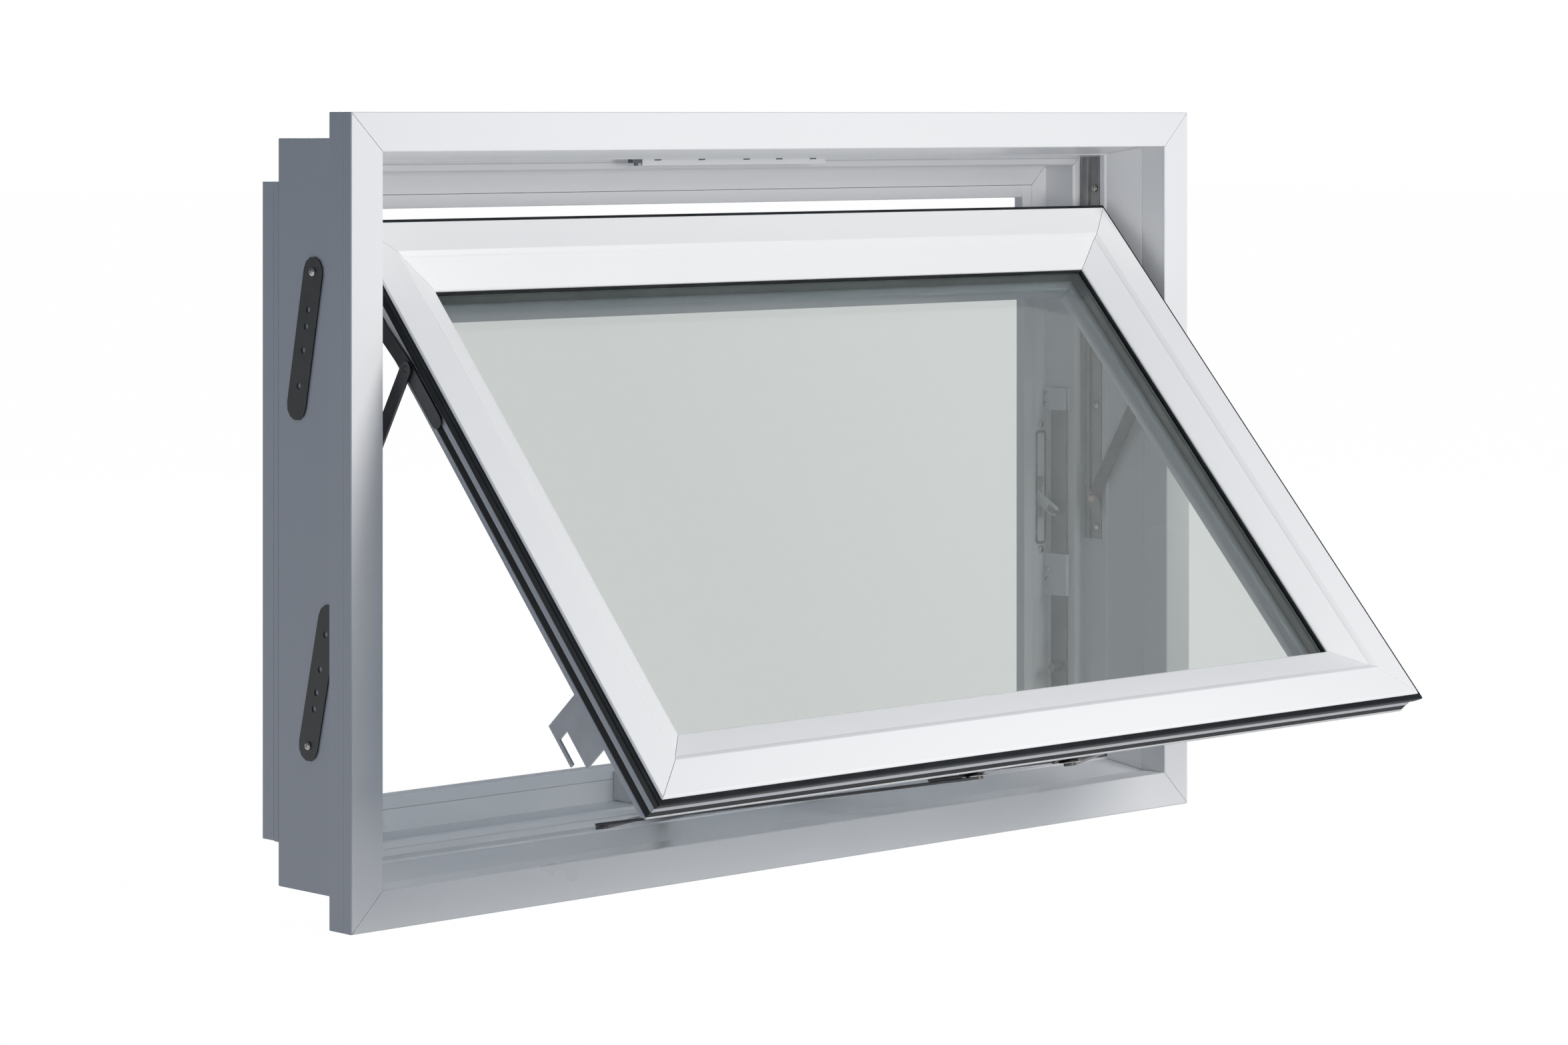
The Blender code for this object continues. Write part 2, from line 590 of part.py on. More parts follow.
sash_ring("sash_seal_outer", [
    (OUTER_SEAL[0] + GAP, SEAL_GROOVE - GAP), (OUTER_SEAL[0] + GAP, -0.0038),
    (OUTER_SEAL[0] + 0.0010, -0.0043), (OUTER_SEAL[0] + 0.0022, -0.0043),
    (OUTER_SEAL[1] - 0.0030, -0.0024), (OUTER_SEAL[1] - GAP, -0.0012),
    (OUTER_SEAL[1] - GAP, SEAL_GROOVE - GAP)], RUBBER)
sash_ring("sash_seal_middle", [
    (MIDDLE_SEAL[0] + GAP, SEAL_GROOVE - GAP), (MIDDLE_SEAL[0] + GAP, GAP),
    (MIDDLE_SEAL[1] - GAP, GAP), (MIDDLE_SEAL[1] - GAP, SEAL_GROOVE - GAP)], RUBBER)


# Hinge arms, shoes and lock keepers carried by the sash's sides.
for side, word in SIDES:
    path = ((0, 0), (-PIVOT_OFFSET, -PIVOT_DROP), (-PIVOT_OFFSET, -SASH_ARM_LENGTH))
    strip = flat_plate("sash_arm_" + word, strip_outline(path, ARM_WIDTH), ARM_THICKNESS,
                       [(0, 0, PIVOT_RADIUS + GAP)])
    x = jamb_x(side, SASH_ARM_INSET + ARM_THICKNESS / 2)
    place(strip, STEEL, sash_pivot, Matrix.Translation((x, 0, 0)) @ STAND)
    pin_x = (jamb_x(side, SUPPORT_ARM_INSET + GAP), x)
    join(strip, cylinder(f"sash_arm_pin_{word}", PIVOT_RADIUS,
                         (pin_x[0], -PIVOT_OFFSET, -PIVOT_DROP),
                         (pin_x[1], -PIVOT_OFFSET, -PIVOT_DROP), 12))

    shoe_pivot = empty("shoe_pivot_" + word, (0, 0, 0), (REST_TILT, 0, 0), sash_pivot)
    low_inset = TRACK_INSET + TRACK_THICKNESS + GAP
    shoe_x = sorted((jamb_x(side, low_inset), jamb_x(side, SUPPORT_ARM_INSET - GAP)))
    shoe = box("hinge_shoe_" + word, (shoe_x[0], -SHOE_WIDTH / 2, -SHOE_LENGTH / 2),
               (shoe_x[1], SHOE_WIDTH / 2, SHOE_LENGTH / 2))
    place(shoe, NYLON, shoe_pivot)
    join(shoe, cylinder(f"shoe_pin_{word}", PIVOT_RADIUS,
                        (jamb_x(side, SUPPORT_ARM_INSET - 0.001), 0, 0),
                        (jamb_x(side, SASH_ARM_INSET + ARM_THICKNESS - GAP), 0, 0), 12))

    # Keeper: an angle screwed to the room side of the stile; its tongue hooks over the
    # tie bar's roller, which comes in from below and slides up to lock.
    roller_z = SASH_EDGE_BOTTOM + ROLLER_HEIGHT - SASH_END_INSET
    z_low = roller_z - 0.0065
    back = SASH_FACE_Y + SASH_THICKNESS + GAP
    roller_y = TIE_BAR_DEPTH - TRACK_PIVOT_DEPTH
    tongue = LOCK_INSET - 0.0010
    outline = [
        (back, SASH_SIDE_INSET + SASH_BACK_STEP + 0.018), (back, tongue - 0.001),
        (roller_y + 0.0095, tongue - 0.001), (roller_y + 0.0095, tongue + 0.001),
        (back + 0.0022, tongue + 0.001),
        (back + 0.0022, SASH_SIDE_INSET + SASH_BACK_STEP + 0.018)]
    keeper = bar("lock_keeper_" + word, outline, KEEPER_LENGTH, mitred=False)
    turn = around(-side * pi / 2, FRAME_WIDTH, FRAME_HEIGHT,
                  (0.0, 0.0, z_low + KEEPER_LENGTH / 2))
    place(keeper, STEEL, sash_pivot, turn)
    tongue_x = sorted((jamb_x(side, tongue - 0.003), jamb_x(side, tongue + 0.003)))
    room = ROLLER_RADIUS + 0.0012
    cut(keeper,
        box(f"keeper_slot_{word}", (tongue_x[0], roller_y - room, z_low - 0.010),
            (tongue_x[1], roller_y + room, roller_z + FORK_TRAVEL + room)),
        box(f"keeper_entry_{word}", (tongue_x[0], roller_y, z_low - 0.010),
            (tongue_x[1], roller_y + 0.020, roller_z + room)))


# ---------------------------------------------------------------- crank operator
PLANE_REACH_Y = BRACKET_DEPTH - SHOE_PIVOT_DEPTH
bracket_local = Vector((0, PLANE_REACH_Y, SASH_EDGE_BOTTOM + BRACKET_RISE))
bracket_rest = (Vector((0, depth(TRACK_PIVOT_DEPTH), SHOE_REST_Z))
                + Matrix.Rotation(-REST_TILT, 3, "X") @ bracket_local)
arm_pivot = Vector((0, depth(OPERATOR_DEPTH), OPERATOR_RISE))
stretch = bracket_rest - arm_pivot
ARM_PLANE_TILT = atan2(stretch.z, -stretch.y)
ARM_SPREAD = asin(hypot(stretch.y, stretch.z) / (2 * OPERATOR_ARM))


# Rocker: a round bar in the sill channel that carries both arm pivots and tips with them.
rock = empty("operator_rocker_pivot", (OPERATOR_X, arm_pivot.y, arm_pivot.z),
             (-ARM_PLANE_TILT, 0, 0))
ROCKER_RADIUS = 0.0025
ROCKER_HALF = 0.045
rocker = place(cylinder("operator_rocker", ROCKER_RADIUS, (-ROCKER_HALF, 0, 0),
                        (ROCKER_HALF, 0, 0), 16), STEEL, rock)
arm_under = OPERATOR_PLATE / 2 + GAP
for side, word in SIDES:
    block_x = sorted((side * (ROCKER_HALF - 0.006), side * (OPERATOR_SPAN + 0.006)))
    join(rocker,
         box(f"rocker_foot_{word}", (block_x[0], -0.0055, -0.0044), (block_x[1], 0.0055, -0.0018)),
         cylinder(f"arm_boss_{word}", 0.0050, (side * OPERATOR_SPAN, 0, -0.0030),
                  (side * OPERATOR_SPAN, 0, -arm_under), 16),
         cylinder(f"arm_pin_{word}", OPERATOR_PIN, (side * OPERATOR_SPAN, 0, -0.0030),
                  (side * OPERATOR_SPAN, 0, OPERATOR_PLATE / 2), 12))

    swing = empty("operator_arm_pivot_" + word, (side * OPERATOR_SPAN, 0, 0),
                  (0, 0, -side * ARM_SPREAD), rock)
    arm = flat_plate("operator_arm_" + word,
                     strip_outline(((0, 0), (side * OPERATOR_ARM, 0)), OPERATOR_ARM_WIDTH),
                     OPERATOR_PLATE, [(0, 0, OPERATOR_PIN + GAP)])
    place(arm, STEEL, swing)
    join(arm, cylinder(f"elbow_pin_{word}", OPERATOR_PIN, (side * OPERATOR_ARM, 0, 0),
                       (side * OPERATOR_ARM, 0, 1.5 * OPERATOR_PLATE + GAP), 12))
    elbow = empty("operator_link_pivot_" + word, (side * OPERATOR_ARM, 0, 0),
                  (0, 0, side * 2 * ARM_SPREAD), swing)
    link = flat_plate("operator_link_" + word,
                      strip_outline(((0, 0), (-side * OPERATOR_ARM, 0)), OPERATOR_ARM_WIDTH),
                      OPERATOR_PLATE, [(0, 0, OPERATOR_PIN + GAP)])
    place(link, STEEL, elbow, Matrix.Translation((0, 0, OPERATOR_PLATE + GAP)))
    join(link, cylinder(f"link_stud_{word}", OPERATOR_PIN,
                        (-side * OPERATOR_ARM, 0, OPERATOR_PLATE),
                        (-side * OPERATOR_ARM, 0, 2 * OPERATOR_PLATE), 12))

# Bracket on the room side of the bottom rail, with an ear over each link's end.
BRACKET_LENGTH = 0.236
ear_low = bracket_local.z + BRACKET_EAR
bracket = box("operator_bracket",
              (OPERATOR_X - BRACKET_LENGTH / 2, SASH_FACE_Y + SASH_THICKNESS + GAP, ear_low),
              (OPERATOR_X + BRACKET_LENGTH / 2, SASH_FACE_Y + SASH_THICKNESS + 0.0022,
               SASH_EDGE_BOTTOM + 0.028))
place(bracket, NYLON, sash_pivot)
for side, word in SIDES:
    x = OPERATOR_X + side * OPERATOR_SPAN
    join(bracket, box(f"bracket_ear_{word}",
                      (x - 0.014, SASH_FACE_Y + SASH_THICKNESS + 0.001, ear_low),
                      (x + 0.014, bracket_local.y + 0.0035, ear_low + 0.0020)))

# Pocket in the sill, base plate and housing over it, and the spindle's way to the room.
POCKET_HALF = OPERATOR_SPAN + 0.020
POCKET_FLOOR = GROOVE_INSET + 0.0005
HOUSING_FRONT = WALL_DEPTH + 0.004
HOUSING_BACK = FLANGE_DEPTH - GAP
HOUSING_TOP = WALL_INSET + 0.026
HOUSING_WALL = 0.0025
cut(frame_sill, box("operator_pocket",
                    (OPERATOR_X - POCKET_HALF, depth(WALL_DEPTH - 0.002), POCKET_FLOOR),
                    (OPERATOR_X + POCKET_HALF, depth(FLANGE_DEPTH - 0.006), WALL_INSET + 0.01)))
housing = place(box("operator_housing",
                    (OPERATOR_X - POCKET_HALF - 0.008, depth(HOUSING_FRONT), WALL_INSET + GAP),
                    (OPERATOR_X + POCKET_HALF + 0.008, depth(HOUSING_BACK), HOUSING_TOP)), DIECAST)
cut(housing, box("housing_hollow",
                 (OPERATOR_X - POCKET_HALF, depth(HOUSING_FRONT + HOUSING_WALL), 0.0),
                 (OPERATOR_X + POCKET_HALF, depth(HOUSING_BACK - 0.006),
                  HOUSING_TOP - HOUSING_WALL)))
LUG_X = 0.020
for side, word in SIDES:
    post_x = OPERATOR_X + side * LUG_X
    join(housing,
         box(f"housing_post_{word}",
             (post_x - 0.005, depth(HOUSING_FRONT + 0.006), POCKET_FLOOR + GAP),
             (post_x + 0.005, depth(HOUSING_BACK - 0.012), HOUSING_TOP - 0.001)),
         box(f"rocker_lug_{word}",
             (post_x - 0.0020, depth(OPERATOR_DEPTH - 0.0055), OPERATOR_RISE - 0.0045),
             (post_x + 0.0020, depth(HOUSING_FRONT + 0.010), OPERATOR_RISE + 0.0045)))
    cut(housing, cylinder(f"rocker_hole_{word}", ROCKER_RADIUS + GAP,
                          (post_x - 0.010, arm_pivot.y, arm_pivot.z),
                          (post_x + 0.010, arm_pivot.y, arm_pivot.z), 16))

spindle_line = Vector((0, cos(SPINDLE_TILT), sin(SPINDLE_TILT)))
SPINDLE_FROM = WALL_DEPTH + 0.012
leave_depth = FLANGE_DEPTH + 0.006
spindle_start = Vector((OPERATOR_X, depth(SPINDLE_FROM), SPINDLE_INSET_AT_STOP
                        - (leave_depth - SPINDLE_FROM) * sin(SPINDLE_TILT) / cos(SPINDLE_TILT)))


def along(distance):
    """Point on the spindle's axis, measured from its inner end."""
    return spindle_start + spindle_line * distance


room_wall = (ROOM_FACE - SPINDLE_FROM) / cos(SPINDLE_TILT)
for target in (frame_sill, stop_rails["stop_sill"], housing):
    cut(target, cylinder("spindle_hole_" + target.name, SPINDLE_RADIUS + 0.002,
                         along(0.018), along(room_wall + 0.02), 20))

cover = place(box("operator_cover",
                  (OPERATOR_X - 0.034, depth(ROOM_FACE + GAP), STOP_END_INSET + 0.002),
                  (OPERATOR_X + 0.034, depth(ROOM_FACE + 0.010), STOP_INSET + 0.013)), DIECAST)
cut(cover, cylinder("cover_hole", SPINDLE_RADIUS + 0.001, along(room_wall - 0.01),
                    along(room_wall + 0.04), 20))

hub_start = room_wall + 0.0165
spindle = place(cylinder("crank_spindle", SPINDLE_RADIUS, along(0.0), along(hub_start + 0.010),
                         16), STEEL)
for ring in range(3):
    at = 0.0025 + ring * 0.0048
    join(spindle, cylinder(f"worm_thread_{ring}", WORM_RADIUS - 0.0015, along(at),
                           along(at + 0.0035), 16, tip=WORM_RADIUS))

hub = place(cylinder("crank_hub", 0.0095, along(hub_start), along(hub_start + 0.018), 20), DIECAST)
cut(hub, cylinder("hub_bore", SPINDLE_RADIUS + GAP, along(hub_start - 0.002),
                  along(hub_start + 0.0105), 16))
fold_centre = along(hub_start + 0.026)
for side, word in SIDES:
    cheek = box(f"hub_cheek_{word}", (OPERATOR_X + side * 0.0062 - 0.0013, -0.005, -0.0055),
                (OPERATOR_X + side * 0.0062 + 0.0013, 0.013, 0.0055))
    cheek.matrix_world = (Matrix.Translation((0, along(hub_start + 0.016).y,
                                              along(hub_start + 0.016).z))
                          @ Matrix.Rotation(SPINDLE_TILT, 4, "X"))
    join(hub, cheek)
join(hub, cylinder("fold_pin", 0.0015, fold_centre - Vector((0.006, 0, 0)),
                   fold_centre + Vector((0.006, 0, 0)), 12))

# Folding handle: it hangs from the hub's cheeks and carries the turning knob.
handle_fold = empty("crank_fold_pivot", fold_centre, (-CRANK_TURN + SPINDLE_TILT, 0, 0))
handle = flat_plate("crank_handle", strip_outline(((0, 0), (CRANK_ARM, 0)), 0.010), 0.0090,
                    [(0, 0, 0.0015 + GAP)])
place(handle, DIECAST, handle_fold, STAND)
KNOB_STEM = 0.0030
join(handle,
     cylinder("knob_stem", KNOB_STEM, (0, CRANK_ARM, 0.002), (0, CRANK_ARM, 0.0252), 12),
     cylinder("knob_stem_head", 0.0050, (0, CRANK_ARM, 0.0243), (0, CRANK_ARM, 0.0262), 16))
knob_points = ((0.0036, 0.0056), (0.0036, 0.0240), (0.0060, 0.0240), (0.0080, 0.0215),
               (0.0086, 0.0150), (0.0074, 0.0085), (0.0062, 0.0056))
knob_bm = bmesh.new()
knob_ring = [knob_bm.verts.new((radius, 0, height)) for radius, height in knob_points]
knob_edges = [knob_bm.edges.new((knob_ring[i], knob_ring[(i + 1) % len(knob_ring)]))
              for i in range(len(knob_ring))]
bmesh.ops.spin(knob_bm, geom=knob_ring + knob_edges, cent=(0, 0, 0), axis=(0, 0, 1),
               angle=2 * pi, steps=20, use_merge=True)
bmesh.ops.remove_doubles(knob_bm, verts=knob_bm.verts, dist=0.00001)
place(mesh_object("crank_knob", knob_bm), DIECAST, handle_fold,
      Matrix.Translation((0, CRANK_ARM, 0)))


# ---------------------------------------------------------------- jamb locks
FORK_REACH = FORK_TRAVEL / 2 / sin(FORK_SWING)
LOCK_DEPTH = TIE_BAR_DEPTH + FORK_REACH * cos(FORK_SWING)
LEVER_PIN = 0.0018
CHEEK = 0.0014
lever_y = depth(LOCK_DEPTH)
for side, word in SIDES:
    lock_x = jamb_x(side, LOCK_INSET)
    half = LEVER_THICKNESS / 2
    cheek_out = half + GAP + CHEEK

    # Slot through the flange and the stop, where the lever passes to the room.
    for target in (frame_jambs[side], stop_jambs[side]):
        cut(target, box(f"lever_slot_{target.name}",
                        (lock_x - cheek_out - GAP, depth(FRAME_DEPTH + 0.001), LOCK_HEIGHT - 0.020),
                        (lock_x + cheek_out + GAP, depth(ROOM_FACE + 0.01), LOCK_HEIGHT + 0.020)))

    # Lever: the fork points out and down at rest, the handle stands close to the escutcheon.
    turn = empty("lock_lever_pivot_" + word, (lock_x, lever_y, LOCK_HEIGHT), (0, 0, 0))
    fork = Vector((-cos(FORK_SWING), -sin(FORK_SWING)))
    path = (tuple(fork * (FORK_REACH + 0.0010)), (0, 0), (0.0120, 0.0075), (0.0178, 0.0190),
            (0.0190, 0.0500))
    lever = flat_plate("lock_lever_" + word, strip_outline(path, LEVER_WIDTH), LEVER_THICKNESS,
                       [(0, 0, LEVER_PIN + GAP)])
    place(lever, DIECAST, turn, STAND)
    slot = box(f"fork_slot_{word}", (-0.02, -0.020, -FORK_PIN_RADIUS - 0.0007),
               (0.02, 0.0065, FORK_PIN_RADIUS + 0.0007))
    slot.matrix_world = (Matrix.Translation((0, fork.x * FORK_REACH, fork.y * FORK_REACH))
                         @ Matrix.Rotation(FORK_SWING, 4, "X"))
    cut(lever, slot)

    bar_x = sorted((jamb_x(side, WALL_INSET + GAP),
                    jamb_x(side, WALL_INSET + GAP + TIE_BAR_THICKNESS)))
    tie_bar = place(box("tie_bar_" + word,
                        (bar_x[0], depth(TIE_BAR_DEPTH) - TIE_BAR_WIDTH / 2, TIE_BAR_BOTTOM),
                        (bar_x[1], depth(TIE_BAR_DEPTH) + TIE_BAR_WIDTH / 2, TIE_BAR_TOP)), STEEL)
    fork_z = LOCK_HEIGHT - FORK_TRAVEL / 2
    join(tie_bar,
         cylinder(f"fork_pin_{word}", FORK_PIN_RADIUS,
                  (jamb_x(side, WALL_INSET + 0.001), depth(TIE_BAR_DEPTH), fork_z),
                  (jamb_x(side, LOCK_INSET + half + 0.0005), depth(TIE_BAR_DEPTH), fork_z), 12),
         cylinder(f"lock_roller_{word}", ROLLER_RADIUS,
                  (jamb_x(side, WALL_INSET + 0.001), depth(TIE_BAR_DEPTH), ROLLER_HEIGHT),
                  (jamb_x(side, WALL_INSET + 0.0125), depth(TIE_BAR_DEPTH), ROLLER_HEIGHT), 14))

    guide_z = 0.190
    guide_x = sorted((jamb_x(side, WALL_INSET + GAP), jamb_x(side, WALL_INSET + 0.0055)))
    guide = place(box("tie_bar_guide_" + word,
                      (guide_x[0], depth(TIE_BAR_DEPTH - 0.0130), guide_z - 0.020),
                      (guide_x[1], depth(FLANGE_DEPTH - GAP), guide_z + 0.020)), DIECAST)
    channel_x = sorted((jamb_x(side, WALL_INSET - 0.01),
                        jamb_x(side, WALL_INSET + TIE_BAR_THICKNESS + 2 * GAP)))
    channel_half = TIE_BAR_WIDTH / 2 + GAP
    cut(guide, box(f"guide_channel_{word}",
                   (channel_x[0], depth(TIE_BAR_DEPTH) - channel_half, guide_z - 0.03),
                   (channel_x[1], depth(TIE_BAR_DEPTH) + channel_half, guide_z + 0.03)))

    shell = place(box("lock_escutcheon_" + word,
                      (lock_x - 0.0105, depth(ROOM_FACE + GAP), LOCK_HEIGHT - 0.042),
                      (lock_x + 0.0105, depth(ROOM_FACE + 0.009), LOCK_HEIGHT + 0.096)), DIECAST)
    cut(shell, box(f"escutcheon_slot_{word}",
                   (lock_x - half - GAP, depth(ROOM_FACE - 0.01), LOCK_HEIGHT - 0.020),
                   (lock_x + half + GAP, depth(ROOM_FACE + 0.02), LOCK_HEIGHT + 0.062)))
    for cheek_side in (-1, 1):
        cheek_x = sorted((lock_x + cheek_side * (half + GAP), lock_x + cheek_side * cheek_out))
        join(shell, box(f"escutcheon_cheek_{word}_{cheek_side}",
                        (cheek_x[0], lever_y - 0.0035, LOCK_HEIGHT - 0.010),
                        (cheek_x[1], depth(ROOM_FACE + 0.002), LOCK_HEIGHT + 0.010)))
    join(shell, cylinder(f"lever_pin_{word}", LEVER_PIN,
                         (lock_x - half - GAP - CHEEK / 2, lever_y, LOCK_HEIGHT),
                         (lock_x + half + GAP + CHEEK / 2, lever_y, LOCK_HEIGHT), 12))
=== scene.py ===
import json
from math import atan2, pi, radians

import bmesh
import bpy
from mathutils import Matrix, Vector


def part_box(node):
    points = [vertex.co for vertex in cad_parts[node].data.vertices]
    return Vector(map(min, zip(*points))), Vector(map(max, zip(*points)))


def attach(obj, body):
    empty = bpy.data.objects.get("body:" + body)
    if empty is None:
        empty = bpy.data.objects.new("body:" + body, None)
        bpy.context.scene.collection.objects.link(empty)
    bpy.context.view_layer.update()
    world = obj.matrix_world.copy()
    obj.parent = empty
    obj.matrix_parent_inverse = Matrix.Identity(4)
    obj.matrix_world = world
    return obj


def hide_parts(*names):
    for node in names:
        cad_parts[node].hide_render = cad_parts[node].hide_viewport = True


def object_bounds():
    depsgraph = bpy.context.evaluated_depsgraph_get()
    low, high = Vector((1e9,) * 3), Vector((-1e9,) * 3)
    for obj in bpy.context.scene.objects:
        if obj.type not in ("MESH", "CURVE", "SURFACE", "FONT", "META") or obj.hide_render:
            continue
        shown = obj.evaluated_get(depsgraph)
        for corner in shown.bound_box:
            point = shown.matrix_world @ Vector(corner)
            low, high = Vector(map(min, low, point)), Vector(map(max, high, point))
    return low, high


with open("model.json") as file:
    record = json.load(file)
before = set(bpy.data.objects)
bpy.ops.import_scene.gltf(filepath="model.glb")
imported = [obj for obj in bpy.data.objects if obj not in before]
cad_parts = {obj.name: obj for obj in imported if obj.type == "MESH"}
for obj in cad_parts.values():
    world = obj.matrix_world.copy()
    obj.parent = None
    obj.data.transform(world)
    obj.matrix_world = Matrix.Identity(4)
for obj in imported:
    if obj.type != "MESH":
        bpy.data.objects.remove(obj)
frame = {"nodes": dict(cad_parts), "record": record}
cad_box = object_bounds()

# ---------------------------------------------------------------- studio
# A white floor, a broad lamp high in front on the window's right, a small one low in front,
# one on the room side, and a cool surround that leaves the window's left side in shade.
FLOOR_GAP = 0.0004
FLOOR_SIZE = 60.0

floor_bm = bmesh.new()
bmesh.ops.create_grid(floor_bm, x_segments=4, y_segments=4, size=FLOOR_SIZE / 2)
bmesh.ops.translate(floor_bm, vec=(0, 0, cad_box[0][2] - FLOOR_GAP),
                    verts=floor_bm.verts)
floor_mesh = bpy.data.meshes.new("studio_floor")
floor_bm.to_mesh(floor_mesh)
floor_bm.free()
studio_floor = bpy.data.objects.new("studio_floor", floor_mesh)
bpy.context.scene.collection.objects.link(studio_floor)
studio_floor.visible_diffuse = False
studio_floor.visible_transmission = False

white_floor = bpy.data.materials.new("white_floor")
white_floor.use_nodes = True
floor_shader = white_floor.node_tree.nodes["Principled BSDF"]
floor_shader.inputs["Base Color"].default_value = (0.02, 0.02, 0.02, 1)
floor_shader.inputs["Roughness"].default_value = 0.9
floor_shader.inputs["Specular IOR Level"].default_value = 0.0
floor_shader.inputs["Emission Color"].default_value = (1, 1, 1, 1)
floor_shader.inputs["Emission Strength"].default_value = 0.99
studio_floor.data.materials.append(white_floor)

# The backdrop is white to the eye, also through glass, and everything else meets a cool grey.
surround = bpy.data.worlds.new("studio_surround")
bpy.context.scene.world = surround
surround.use_nodes = True
surround_nodes = surround.node_tree.nodes
surround_links = surround.node_tree.links
surround_nodes.clear()
rays = surround_nodes.new("ShaderNodeLightPath")
unscattered = surround_nodes.new("ShaderNodeMath")
unscattered.operation = "LESS_THAN"
surround_links.new(rays.outputs["Diffuse Depth"], unscattered.inputs[0])
unscattered.inputs[1].default_value = 0.5
through_glass = surround_nodes.new("ShaderNodeMath")
through_glass.operation = "MULTIPLY"
surround_links.new(rays.outputs["Is Transmission Ray"], through_glass.inputs[0])
surround_links.new(unscattered.outputs[0], through_glass.inputs[1])
seen = surround_nodes.new("ShaderNodeMath")
seen.operation = "MAXIMUM"
surround_links.new(rays.outputs["Is Camera Ray"], seen.inputs[0])
surround_links.new(through_glass.outputs[0], seen.inputs[1])
ambient = surround_nodes.new("ShaderNodeBackground")
ambient.inputs["Color"].default_value = (0.66, 0.76, 0.93, 1)
ambient.inputs["Strength"].default_value = 0.215
backdrop = surround_nodes.new("ShaderNodeBackground")
backdrop.inputs["Color"].default_value = (1, 1, 1, 1)
backdrop.inputs["Strength"].default_value = 1.0
either = surround_nodes.new("ShaderNodeMixShader")
surround_links.new(seen.outputs[0], either.inputs[0])
surround_links.new(ambient.outputs[0], either.inputs[1])
surround_links.new(backdrop.outputs[0], either.inputs[2])
surround_out = surround_nodes.new("ShaderNodeOutputWorld")
surround_links.new(either.outputs[0], surround_out.inputs["Surface"])


def softbox(name, location, target, size, power, colour=(1, 1, 1)):
    """Add a square lamp that faces a point."""
    lamp = bpy.data.lights.new(name, "AREA")
    lamp.shape = "SQUARE"
    lamp.size = size
    lamp.energy = power
    lamp.color = colour
    holder = bpy.data.objects.new(name, lamp)
    bpy.context.scene.collection.objects.link(holder)
    holder.location = location
    facing = Vector(target) - Vector(location)
    holder.rotation_euler = facing.to_track_quat("-Z", "Y").to_euler()


WARM_WHITE = (1.0, 0.985, 0.965)
softbox("key_softbox", (1.5, -3.8, 2.30), (0, 0, 0.3), 1.9, 98, WARM_WHITE)
softbox("low_softbox", (-0.05, -1.7, 0.47), (0, 0, 0.5), 0.7, 11, WARM_WHITE)
softbox("room_softbox", (1.0, 3.2, 1.9), (0, 0, 0.1), 1.6, 38, (0.97, 0.98, 1.0))

lens = bpy.data.cameras.new("camera")
lens.sensor_width = 36.0
lens.lens = 103.06
lens.shift_y = -0.2596
camera = bpy.data.objects.new("camera", lens)
bpy.context.scene.collection.objects.link(camera)
camera.location = (-2.7215, -2.9298, 0.6356)
camera.rotation_euler = (radians(90), 0, radians(-43.37))
bpy.context.scene.camera = camera
bpy.context.scene.view_settings.view_transform = "Standard"

# ---------------------------------------------------------------- frame members
# Head, sill and jambs are white PVC extrusions, mitred and welded at the corners. The
# die leaves faint lines along each member, and the gloss varies a little with handling.
BODIES = frame["record"]["behaviour"]["bodies"]


def body_that_carries(node):
    """Name of the moving body that a node belongs to."""
    return next(body for body, nodes in BODIES.items() if node in nodes)


def group_with(name, inputs, outputs):
    """Empty shader group with its sockets and its two ends."""
    group = bpy.data.node_groups.new(name, "ShaderNodeTree")
    for socket, kind, value in inputs:
        made = group.interface.new_socket(socket, in_out="INPUT", socket_type=kind)
        if value is not None:
            made.default_value = value
    for socket, kind in outputs:
        group.interface.new_socket(socket, in_out="OUTPUT", socket_type=kind)
    return group, group.nodes.new("NodeGroupInput"), group.nodes.new("NodeGroupOutput")


# Lines drawn along one direction: stretched noise, with a broad uneven patch over it.
drawn_lines, lines_in, lines_out = group_with(
    "drawn_lines",
    [("Vector", "NodeSocketVector", None), ("Fineness", "NodeSocketFloat", 8.0),
     ("Patch Scale", "NodeSocketFloat", 5.0)],
    [("Lines", "NodeSocketFloat"), ("Patches", "NodeSocketFloat")])
fine_noise = drawn_lines.nodes.new("ShaderNodeTexNoise")
fine_noise.inputs["Detail"].default_value = 3.0
fine_noise.inputs["Roughness"].default_value = 0.6
drawn_lines.links.new(lines_in.outputs["Vector"], fine_noise.inputs["Vector"])
drawn_lines.links.new(lines_in.outputs["Fineness"], fine_noise.inputs["Scale"])
drawn_lines.links.new(fine_noise.outputs["Fac"], lines_out.inputs["Lines"])
patch_coordinates = drawn_lines.nodes.new("ShaderNodeTexCoord")
patch_noise = drawn_lines.nodes.new("ShaderNodeTexNoise")
patch_noise.inputs["Detail"].default_value = 4.0
drawn_lines.links.new(patch_coordinates.outputs["Object"], patch_noise.inputs["Vector"])
drawn_lines.links.new(lines_in.outputs["Patch Scale"], patch_noise.inputs["Scale"])
drawn_lines.links.new(patch_noise.outputs["Fac"], lines_out.inputs["Patches"])


def stretch_sizes(direction):
    """Pattern sizes that draw a pattern out along X or Z."""
    long, fine = 0.9, 0.012
    return (long, fine, fine) if direction == "X" else (fine, fine, long)


def two_tone(material, factor, dark, light, low=0.35, high=0.65):
    """Colour ramp between two colours, driven by a value."""
    ramp = material.node_tree.nodes.new("ShaderNodeValToRGB")
    ramp.color_ramp.elements[0].position = low
    ramp.color_ramp.elements[0].color = (*dark, 1)
    ramp.color_ramp.elements[1].position = high
    ramp.color_ramp.elements[1].color = (*light, 1)
    material.node_tree.links.new(factor, ramp.inputs["Fac"])
    return ramp.outputs["Color"]


NOISE_SPAN = (0.3, 0.7)             # what noise values mostly keep within


